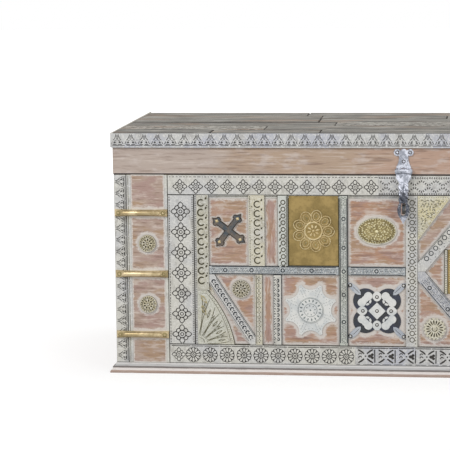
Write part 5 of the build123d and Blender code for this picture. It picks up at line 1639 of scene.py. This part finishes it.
class CHEST_OT_stage(bpy.types.Operator):
    """Puts the chest on a white floor in soft studio light, with its camera"""

    bl_idname, bl_label = "chest.stage", "Stage"

    def execute(self, context):
        scene, props = context.scene, context.scene.chest_stage
        yaw, pitch, roll = (math.radians(a) for a in props.aim)
        ahead = Vector((-math.sin(yaw) * math.cos(pitch), math.cos(yaw) * math.cos(pitch), -math.sin(pitch)))
        right = Vector((math.cos(yaw), math.sin(yaw), 0.0))
        up = right.cross(ahead)
        across = right * math.cos(roll) + up * math.sin(roll)
        above = up * math.cos(roll) - right * math.sin(roll)
        lens = bpy.data.cameras.new("camera")
        lens.sensor_width, lens.lens, lens.clip_end = 36.0, props.lens, 60.0
        lens.shift_x, lens.shift_y = props.shift
        camera = bpy.data.objects.new("camera", lens)
        turn = Matrix((across, above, -ahead)).transposed().to_4x4()
        camera.matrix_world = Matrix.Translation(Vector(props.eye)) @ turn
        scene.collection.objects.link(camera)
        scene.camera = camera

        world = bpy.data.worlds.new("soft studio")
        scene.world = world
        world.use_nodes = True
        tree = world.node_tree
        links = {"Value": directly_seen(tree), "To Min": 0.45, "To Max": 1.0}
        strength = add(tree, "ShaderNodeMapRange", links)
        shade = tree.nodes["Background"]
        shade.inputs["Color"].default_value = (1.0, 1.0, 1.0, 1.0)
        tree.links.new(strength.outputs[0], shade.inputs["Strength"])

        reach = 14.0
        corners = [(-reach, -reach, 0), (reach, -reach, 0), (reach, reach, 0), (-reach, reach, 0)]
        floor = helper("floor", corners, faces=[(0, 1, 2, 3)])
        floor.data.materials.append(white_floor("white paper floor"))

        for name, place, size, power in (
            ("key", (-2.6, -3.4, 3.2), 1.8, 95.0),
            ("fill", (2.8, -3.6, 1.6), 2.4, 40.0),
            ("top", (0.2, 0.6, 3.4), 2.0, 30.0),
        ):
            data = bpy.data.lights.new(name, "AREA")
            data.shape, data.size, data.energy = "DISK", size, power
            lamp = bpy.data.objects.new(name, data)
            way = Vector((0, 0, 0.2)) - Vector(place)
            lamp.matrix_world = Matrix.Translation(place) @ way.to_track_quat("-Z", "Y").to_matrix().to_4x4()
            scene.collection.objects.link(lamp)
        scene.view_settings.view_transform = "Standard"
        return {"FINISHED"}


class CHEST_PT_panel(bpy.types.Panel):
    """Lists the steps that dress the chest"""

    bl_idname, bl_label = "CHEST_PT_panel", "Dowry chest"
    bl_space_type, bl_region_type, bl_category = "VIEW_3D", "UI", "Chest"

    def draw(self, context):
        for step in STEPS:
            self.layout.operator(step.bl_idname)
        for name in ("relief", "looseness", "seed"):
            self.layout.prop(context.scene.chest_carving, name)


STEPS = (
    CHEST_OT_finishes, CHEST_OT_bands, CHEST_OT_cornice, CHEST_OT_strips, CHEST_OT_boards, CHEST_OT_slanted,
    CHEST_OT_brass, CHEST_OT_tin, CHEST_OT_iron, CHEST_OT_rosettes, CHEST_OT_lid_top, CHEST_OT_stage,
)
CLASSES = (ChestCarving, ChestStage) + STEPS + (CHEST_PT_panel,)


def register():
    for kind in CLASSES:
        bpy.utils.register_class(kind)
    bpy.types.Scene.chest_carving = PointerProperty(type=ChestCarving)
    bpy.types.Scene.chest_stage = PointerProperty(type=ChestStage)


def unregister():
    del bpy.types.Scene.chest_carving
    del bpy.types.Scene.chest_stage
    for kind in reversed(CLASSES):
        bpy.utils.unregister_class(kind)


def main():
    register()
    for step in STEPS:
        group, name = step.bl_idname.split(".")
        getattr(getattr(bpy.ops, group), name)()


if __name__ == "__main__":
    main()
